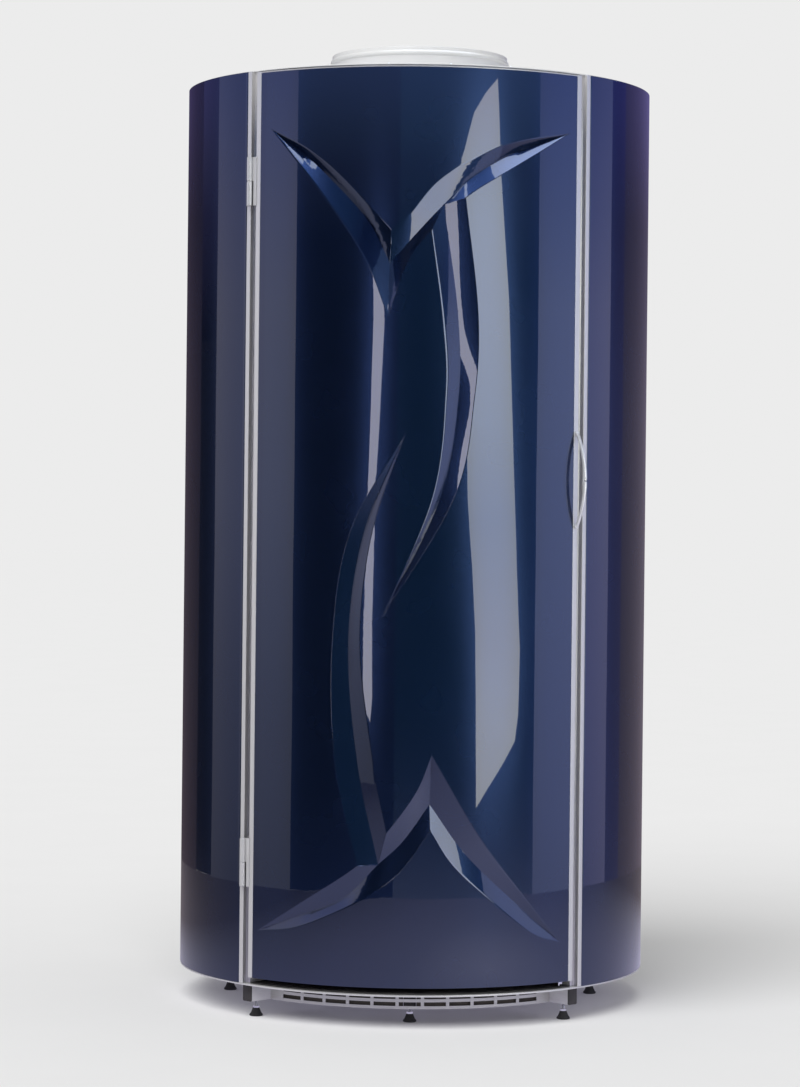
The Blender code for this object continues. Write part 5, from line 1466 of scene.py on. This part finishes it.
def makeHandle():
    h = handle
    angle = (trimInner + doorEdge) / 2
    rise = h["projection"] - 2 * h["rod"]
    half = h["length"] / 2
    bow = (half ** 2 + rise ** 2) / (2 * rise)
    face = booth["radius"] + booth["seat"]
    low = doorLow + h["low"]
    path = []
    for k in range(h["steps"] + 1):
        a = math.asin(half / bow) * (2 * k / h["steps"] - 1)
        reach = face + h["rod"] + bow * math.cos(a) - (bow - rise)
        path.append(polar(reach, angle, low + half + bow * math.sin(a)))
    circle = [Vector((h["rod"] * math.cos(a), h["rod"] * math.sin(a), 0)) for a in circleTurns(h["sides"])]
    bm = bmesh.new()
    rings = []
    for i, point in enumerate(path):
        ahead = path[min(i + 1, h["steps"])] - path[max(i - 1, 0)]
        turn = ahead.to_track_quat("Z", "Y")
        rings.append([bm.verts.new(point + turn @ v) for v in circle])
    joinRings(bm, rings)
    r = h["stud"]
    top = h["studHeight"]
    stud = [(0, 0), (r - h["studFoot"], 0), (r, h["studFoot"]), (r, top - h["studTop"][1]),
            (r - h["studTop"][0], top), (0, top)]
    for level in (0.0, h["length"]):
        turnOnAxis(bm, stud, 28, facing(polar(1.0, angle), polar(face, angle, low + level)))
    makePiece("doorHandle", bm, ["handleSteel"], "door", ["door_handle"], "bright_steel")


def makeCatch():
    c = catch
    low = heights("door_catch")[0]
    middle = doorLow - booth["seat"] - c["height"] / 2
    spot = polar(booth["radius"] - c["setback"], c["angle"], middle)
    bm = bmesh.new()
    addBlock(bm, (c["width"], c["width"], c["height"]), turned(spot, c["angle"]), c["edge"])
    r = c["pin"]
    inset, rise = c["pinPoint"]
    pin = [(0, low), (r - inset, low), (r, low + rise), (r, middle), (0, middle)]
    turnOnAxis(bm, pin, 20, Matrix.Translation((spot.x, spot.y, 0)))
    makePiece("doorCatch", bm, ["brightSteel"], "door", ["door_catch"], "bright_steel")


makeHinges()
makeHandle()
makeCatch()
print("hinges, handle and catch made")


# control panel inside the cabin

control = {
    "angle": 53.0, "width": 0.070, "height": 0.190, "depth": 0.014, "level": 1.280, "edge": 0.0035,
    "shieldGap": 0.0008, "button": 0.010, "spacing": 0.060, "buttonSink": 0.005, "well": 0.0108,
    "wellDepth": 0.0086, "screw": 0.0026, "screwHigh": 0.0014, "screwSink": 0.0004, "screwAcross": 0.028,
    "screwUp": 0.087,
    "bezel": ((0.0104, -0.006), (0.0150, -0.001), (0.0150, 0.0008), (0.0140, 0.0016), (0.0116, 0.0016),
              (0.0104, 0.0008)),
    # a cap's outline: how far in from its edge, and height
    "cap": ((0.0, 0.0), (0.0, 0.0072), (0.0007, 0.0084), (0.0018, 0.009), (0.0045, 0.0084), (0.010, 0.0080)),
}


def cutOut(bm, wells):
    # what is left of one shape after the other is cut from it
    block = newPiece("controlBlock", bm, ["blackMouldedPlastic"])
    cutter = newPiece("controlWells", wells, ["blackMouldedPlastic"])
    cut = block.modifiers.new("cut", "BOOLEAN")
    cut.object = cutter
    mesh = bpy.data.meshes.new_from_object(block.evaluated_get(bpy.context.evaluated_depsgraph_get()))
    for obj in (block, cutter):
        bpy.data.objects.remove(obj)
    left = bmesh.new()
    left.from_mesh(mesh)
    bpy.data.meshes.remove(mesh)
    return left


def makeControls():
    c = control
    half = math.asin(c["width"] / 2 / lampWall["shieldIn"])
    back = lampWall["shieldIn"] * math.cos(half) - c["shieldGap"]
    face = back - c["depth"]
    inward = -polar(1.0, c["angle"])

    def buttonSpot(step, sink=0.0):
        return facing(inward, polar(face + sink, c["angle"], c["level"] + step * c["spacing"] / 2))

    block = bmesh.new()
    addBlock(block, (c["width"], c["depth"], c["height"]),
             turned(polar(back - c["depth"] / 2, c["angle"], c["level"]), c["angle"]), c["edge"], 3)
    wells = bmesh.new()
    for step in (-1, 1):
        bmesh.ops.create_cone(wells, cap_ends=True, segments=36, radius1=c["well"], radius2=c["well"],
                              depth=2 * c["wellDepth"], matrix=buttonSpot(step))
    bm = cutOut(block, wells)
    for step in (-1, 1):
        turnOnAxis(bm, c["bezel"], 36, buttonSpot(step), 1)
    makePiece("controlPanel", bm, ["blackMouldedPlastic", "greyPaintedSteel"], "cabin", ["control_panel"],
              "black_plastic")
    place = turned(polar(face + c["screwSink"], c["angle"], c["level"]), c["angle"])
    spots = [place @ Vector((x * c["screwAcross"], 0, z * c["screwUp"])) for x in (-1, 1) for z in (-1, 1)]
    addScrews("controlPanelScrews", spots, [inward] * 4, c["screw"], c["screwHigh"])
    cap = [(0, 0), *[(c["button"] - inset, rise) for inset, rise in c["cap"]]]
    for node, body, step, finish, slot in (("stop_button", "stop_push", -1, "stopRed", "red_plastic"),
                                           ("start_button", "start_push", 1, "startGreen", "green_plastic")):
        bm = bmesh.new()
        turnOnAxis(bm, cap, 40, buttonSpot(step, c["buttonSink"]))
        makePiece(body + "Cap", bm, [finish], body, [node], slot, 40)
    print("controls made")


makeControls()


# stage: floor, soft daylight, dark drapes with soft boxes that only the gloss sees, camera

studio = {
    "pale": 0.838,                   # background and floor
    "ambient": 0.45,
    "sun": 2.19,
    "sunTurn": (38.0, 0.0, -24.0),
    "sunSpread": 50.0,
    "floorHalf": 60.0,
    "floorSink": 0.0002,
    "ring": 2.86,                    # where the soft boxes hang, from the cabin's axis
    "behind": 0.02,                  # the side boxes hang this far behind the lean ones, the drape twice
    "drapeHigh": 3.05,
    "drapeColour": (0.012, 0.014, 0.022),
    "scrim": (4.5, 3.4),             # reach and height of the dark sheet overhead
    "scrimColour": (0.05, 0.06, 0.09),
}
# how a box changes upward: height, then its share of red, green and blue
leftFade = (
    (0.0, (0.50, 0.50, 0.50)), (0.6, (0.63, 0.63, 0.63)), (1.2, (0.92, 0.92, 0.92)),
    (1.8, (1.05, 1.03, 1.02)), (2.1, (0.95, 0.95, 1.08)), (2.5, (0.72, 0.80, 1.20)),
)
rightFade = (
    (0.0, (0.75, 0.72, 0.75)), (0.6, (0.86, 0.84, 0.86)), (1.5, (1.00, 1.00, 1.00)),
    (1.8, (1.00, 1.00, 1.00)), (2.1, (0.75, 0.80, 0.93)), (2.5, (0.55, 0.63, 0.90)),
)
rearFade = (
    (0.0, (1.05, 1.02, 1.00)), (0.8, (0.95, 0.95, 0.95)), (1.5, (0.90, 0.90, 1.00)),
    (2.1, (0.60, 0.60, 0.80)), (2.5, (0.85, 0.85, 1.70)),
)
blueFade = (
    (0.0, (0.26, 0.30, 0.40)), (0.15, (0.13, 0.17, 0.26)), (0.35, (0.05, 0.10, 0.17)),
    (0.6, (0.02, 0.07, 0.12)), (1.9, (0.02, 0.07, 0.12)), (2.2, (0.09, 0.15, 0.25)),
    (2.32, (0.14, 0.26, 0.45)), (2.5, (0.22, 0.38, 0.75)),
)
topFade = (
    (0.0, (0.0, 0.0, 0.0)), (2.0, (0.012, 0.014, 0.022)), (2.2, (0.06, 0.07, 0.10)),
    (2.32, (0.11, 0.16, 0.25)), (2.5, (0.20, 0.30, 0.60)),
)
edgeFade = (
    (1.7, (0.0, 0.0, 0.0)), (2.1, (0.04, 0.035, 0.09)), (2.3, (0.08, 0.075, 0.18)),
    (2.5, (0.11, 0.105, 0.30)),
)
wideFade = (
    (0.27, (0.98, 0.96, 0.87)), (0.54, (0.98, 0.96, 0.87)), (0.78, (0.88, 0.85, 0.77)),
    (1.14, (0.76, 0.77, 0.73)), (1.45, (0.91, 0.92, 0.82)), (1.8, (1.00, 1.00, 0.89)),
    (2.11, (1.00, 1.01, 0.89)), (2.45, (0.97, 0.94, 0.92)),
)
# azimuth from, azimuth to, low, high, colour, fade
sideBoxes = {
    "leftDoorBox": (-73.0, -55.5, 0.0, 2.72, (0.78, 0.78, 0.90), leftFade),
    "leftGapBox": (-86.0, -73.0, 0.0, 2.72, (0.74, 0.72, 0.82), leftFade),
    "leftPanelBox": (-107.5, -86.0, 0.0, 2.72, (0.46, 0.46, 0.58), leftFade),
    "rightDoorBox": (55.5, 80.0, 0.0, 2.72, (0.90, 1.02, 1.48), rightFade),
    "rightPanelBox": (80.0, 101.5, 0.0, 2.72, (0.70, 0.70, 1.10), rightFade),
    "rightGapBox": (101.5, 114.0, 0.0, 2.72, (0.11, 0.11, 0.25), rearFade),
    "rearLeft": (-180.0, -124.0, 0.0, 3.05, (0.070, 0.056, 0.072), rearFade),
    "rearRight": (114.0, 180.0, 0.0, 3.05, (0.17, 0.145, 0.185), rearFade),
    "blueGlow": (-8.0, 55.5, 0.0, 2.72, (1.0, 1.0, 1.0), blueFade),
    "topGlow": (-55.5, -8.0, 2.0, 2.72, (1.0, 1.0, 1.0), topFade),
    "leftEdgeGlow": (-124.0, -107.5, 1.7, 2.72, (1.0, 1.0, 1.0), edgeFade),
}
# lean soft boxes: colour, fade, then azimuth and height of each corner
leanBoxes = {
    "wideBox": ((4.2, 4.3, 4.5), wideFade, (
        (24, 2.37), (29, 2.43), (34.6, 2.475), (35.2, 2.4), (36.5, 2.2), (41, 1.8), (43.5, 1.4), (46, 1.0),
        (48, 0.75), (47.5, 0.55), (46, 0.47), (28, 0.27), (27.6, 0.5), (27, 0.8), (25.3, 1.0), (23, 1.2),
        (21.2, 1.5), (20, 1.8), (18, 2.2))),
    "narrowBox": ((4.2, 4.1, 4.6), None, (
        (-14, 2.0), (-14, 1.75), (-16, 1.4), (-17.4, 1.2), (-18.2, 0.83), (-17.8, 0.6), (-18.6, 0.53),
        (-20.5, 0.55), (-22.3, 0.62), (-22, 0.85), (-20, 1.4), (-19, 1.75), (-19, 2.0))),
}
overhead = {
    "level": 3.0, "colour": (3.6, 4.1, 5.0),
    "edge": ((-0.60, -1.40), (-0.36, -1.34), (-0.22, -1.03), (0.0, -0.95), (0.20, -1.02), (0.22, -1.22),
             (0.62, -1.10), (0.90, -0.90), (0.90, 0.10), (-0.34, 0.10), (-0.34, -1.18), (-0.60, -1.18)),
    "blueLevel": 3.01,
    "blueEdge": ((-0.75, -2.80), (0.90, -2.80), (0.90, -0.95), (-0.75, -0.95)),
    "blueFade": ((-2.8, (0.03, 0.06, 0.15)), (-2.3, (0.06, 0.15, 0.34)), (-1.85, (0.07, 0.17, 0.38)),
                 (-1.5, (0.16, 0.30, 0.66)), (-1.3, (0.28, 0.50, 1.10)), (-1.05, (0.32, 0.58, 1.40))),
}
# the floor as the gloss sees it: pale near the hot spot and duller away from it
floorGlow = {
    "level": 0.0001, "hotSpot": (0.75, -1.25, 0.0), "reach": 3.0, "dimFrom": 1.9, "dimTo": 0.85,
    "stops": ((0.0, (1.05, 1.0, 1.2)), (0.27, (0.62, 0.6, 0.78)), (0.5, (0.52, 0.50, 0.68)),
              (0.8, (0.35, 0.335, 0.42)), (1.0, (0.17, 0.145, 0.165))),
}


def startGlow(name, colour):
    mat = bpy.data.materials.new(name)
    mat.use_nodes = True
    mat.cycles.emission_sampling = "NONE"
    tree = mat.node_tree
    tree.nodes.clear()
    glow = tree.nodes.new("ShaderNodeEmission")
    glow.inputs["Color"].default_value = (*colour, 1.0)
    glow.inputs["Strength"].default_value = 1.0
    out = tree.nodes.new("ShaderNodeOutputMaterial")
    tree.links.new(glow.outputs[0], out.inputs["Surface"])
    return mat, tree, glow


def glowFinish(name, colour, fade=None, axis="Z"):
    mat, tree, glow = startGlow(name, colour)
    if fade:
        first, last = fade[0][0], fade[-1][0]
        stops = [((at - first) / (last - first), [c * t for c, t in zip(colour, tint)]) for at, tint in fade]
        share = mapRange(tree, along(tree, objectCoords(tree), axis), first, last)
        tree.links.new(stopsAlong(tree, share, stops), glow.inputs["Color"])
    return mat


def floorGlowFinish():
    f = floorGlow
    mat, tree, glow = startGlow("floorGlow", f["stops"][-1][1])
    where = objectCoords(tree)

    def distance(spot):
        node = tree.nodes.new("ShaderNodeVectorMath")
        node.operation = "DISTANCE"
        node.inputs[1].default_value = spot
        tree.links.new(where, node.inputs[0])
        return node.outputs["Value"]

    share = mapRange(tree, distance(f["hotSpot"]), 0.0, f["reach"])
    tree.links.new(stopsAlong(tree, share, f["stops"]), glow.inputs["Color"])
    dim = mapRange(tree, distance((0.0, 0.0, 0.0)), f["dimFrom"], studio["ring"], 1.0, f["dimTo"])
    tree.links.new(dim, glow.inputs["Strength"])
    return mat


def hangCard(name, points, faces, finish):
    mesh = bpy.data.meshes.new(name)
    mesh.from_pydata([tuple(p) for p in points], [], faces)
    mesh.materials.append(finish)
    card = show(name, mesh)
    card.visible_camera = False
    card.visible_diffuse = False
    card.visible_transmission = False
    card.visible_shadow = False
    card.visible_volume_scatter = False


def arcCard(name, start, end, low, high, radius, colour, fade=None):
    angles = arcAngles(start, end, 3.0)
    points = [polar(radius, a, z) for a in angles for z in (low, high)]
    faces = [(2 * k, 2 * k + 2, 2 * k + 3, 2 * k + 1) for k in range(len(angles) - 1)]
    hangCard(name, points, faces, glowFinish(name, colour, fade))


def flatCard(name, points, finish):
    hangCard(name, points, [tuple(range(len(points)))], finish)


def roundPlan(radius, level):
    return [polar(radius, a, level) for a in arcAngles(0, 350, 10)]


def makeCards():
    ring = studio["ring"]
    drape = ring + 2 * studio["behind"]
    arcCard("drape", -180.0, 180.0, 0.0, studio["drapeHigh"], drape, studio["drapeColour"])
    for name, (start, end, low, high, colour, fade) in sideBoxes.items():
        arcCard(name, start, end, low, high, ring + studio["behind"], colour, fade)
    for name, (colour, fade, edge) in leanBoxes.items():
        flatCard(name, [polar(ring, a, z) for a, z in edge], glowFinish(name, colour, fade))
    o = overhead
    flatCard("overheadScrim", roundPlan(*studio["scrim"]), glowFinish("overheadScrim", studio["scrimColour"]))
    flatCard("overheadBox", [(x, y, o["level"]) for x, y in o["edge"]],
             glowFinish("overheadBox", o["colour"]))
    flatCard("overheadBlue", [(x, y, o["blueLevel"]) for x, y in o["blueEdge"]],
             glowFinish("overheadBlue", (1.0, 1.0, 1.0), o["blueFade"], "Y"))
    flatCard("floorGlow", roundPlan(drape, floorGlow["level"]), floorGlowFinish())


def makeFloor():
    half = studio["floorHalf"]
    tone = studio["pale"]
    corners = [(x * half, y * half, -studio["floorSink"]) for x, y in ((-1, -1), (1, -1), (1, 1), (-1, 1))]
    mesh = bpy.data.meshes.new("studioFloor")
    mesh.from_pydata(corners, [], [(0, 1, 2, 3)])
    mesh.materials.append(makeFinish("studioFloorPaint", {
        "sockets": {"Roughness": 0.9, "Specular IOR Level": 0.0}, "skin": ((3, 3, 3), 3),
        "tones": ((tone * 0.995,) * 3, (tone * 1.005,) * 3)}))
    show("studioFloor", mesh)


def makeDaylight():
    sun = bpy.data.lights.new("softDaylight", "SUN")
    sun.energy = studio["sun"]
    sun.angle = math.radians(studio["sunSpread"])
    lamp = show("softDaylight", sun)
    lamp.rotation_euler = [math.radians(a) for a in studio["sunTurn"]]
    lamp.visible_glossy = False
    world = bpy.data.worlds.new("studioWorld")
    bpy.context.scene.world = world
    world.use_nodes = True
    tree = world.node_tree
    tree.nodes.clear()
    path = tree.nodes.new("ShaderNodeLightPath").outputs
    seen = path["Is Camera Ray"]
    for ray in ("Is Glossy Ray", "Is Transmission Ray"):
        either = tree.nodes.new("ShaderNodeMath")
        either.operation = "MAXIMUM"
        tree.links.new(seen, either.inputs[0])
        tree.links.new(path[ray], either.inputs[1])
        seen = either.outputs[0]
    mix = tree.nodes.new("ShaderNodeMixShader")
    tree.links.new(seen, mix.inputs["Fac"])
    for socket, tone, strength in ((1, 1.0, studio["ambient"]), (2, studio["pale"], 1.0)):
        backdrop = tree.nodes.new("ShaderNodeBackground")
        backdrop.inputs["Color"].default_value = (tone, tone, tone, 1.0)
        backdrop.inputs["Strength"].default_value = strength
        tree.links.new(backdrop.outputs[0], mix.inputs[socket])
    out = tree.nodes.new("ShaderNodeOutputWorld")
    tree.links.new(mix.outputs[0], out.inputs["Surface"])


view = {"spot": (0.0, -7.507, 1.196), "lens": 101.9, "sensor": 36.0, "shiftX": -0.0139, "shiftY": -0.0391,
        "roll": 0.61, "far": 200.0}


def makeCamera():
    camera = bpy.data.cameras.new("frontCamera")
    camera.lens = view["lens"]
    camera.sensor_width = view["sensor"]
    camera.shift_x = view["shiftX"]
    camera.shift_y = view["shiftY"]
    camera.clip_end = view["far"]
    obj = show("frontCamera", camera)
    turn = Matrix.Rotation(math.pi / 2, 4, "X") @ Matrix.Rotation(math.radians(view["roll"]), 4, "Z")
    obj.matrix_world = Matrix.Translation(view["spot"]) @ turn
    bpy.context.scene.camera = obj


makeCards()
makeFloor()
makeDaylight()
makeCamera()
bpy.context.scene.view_settings.view_transform = "Standard"
print("stage and camera made")

bpy.context.view_layer.update()
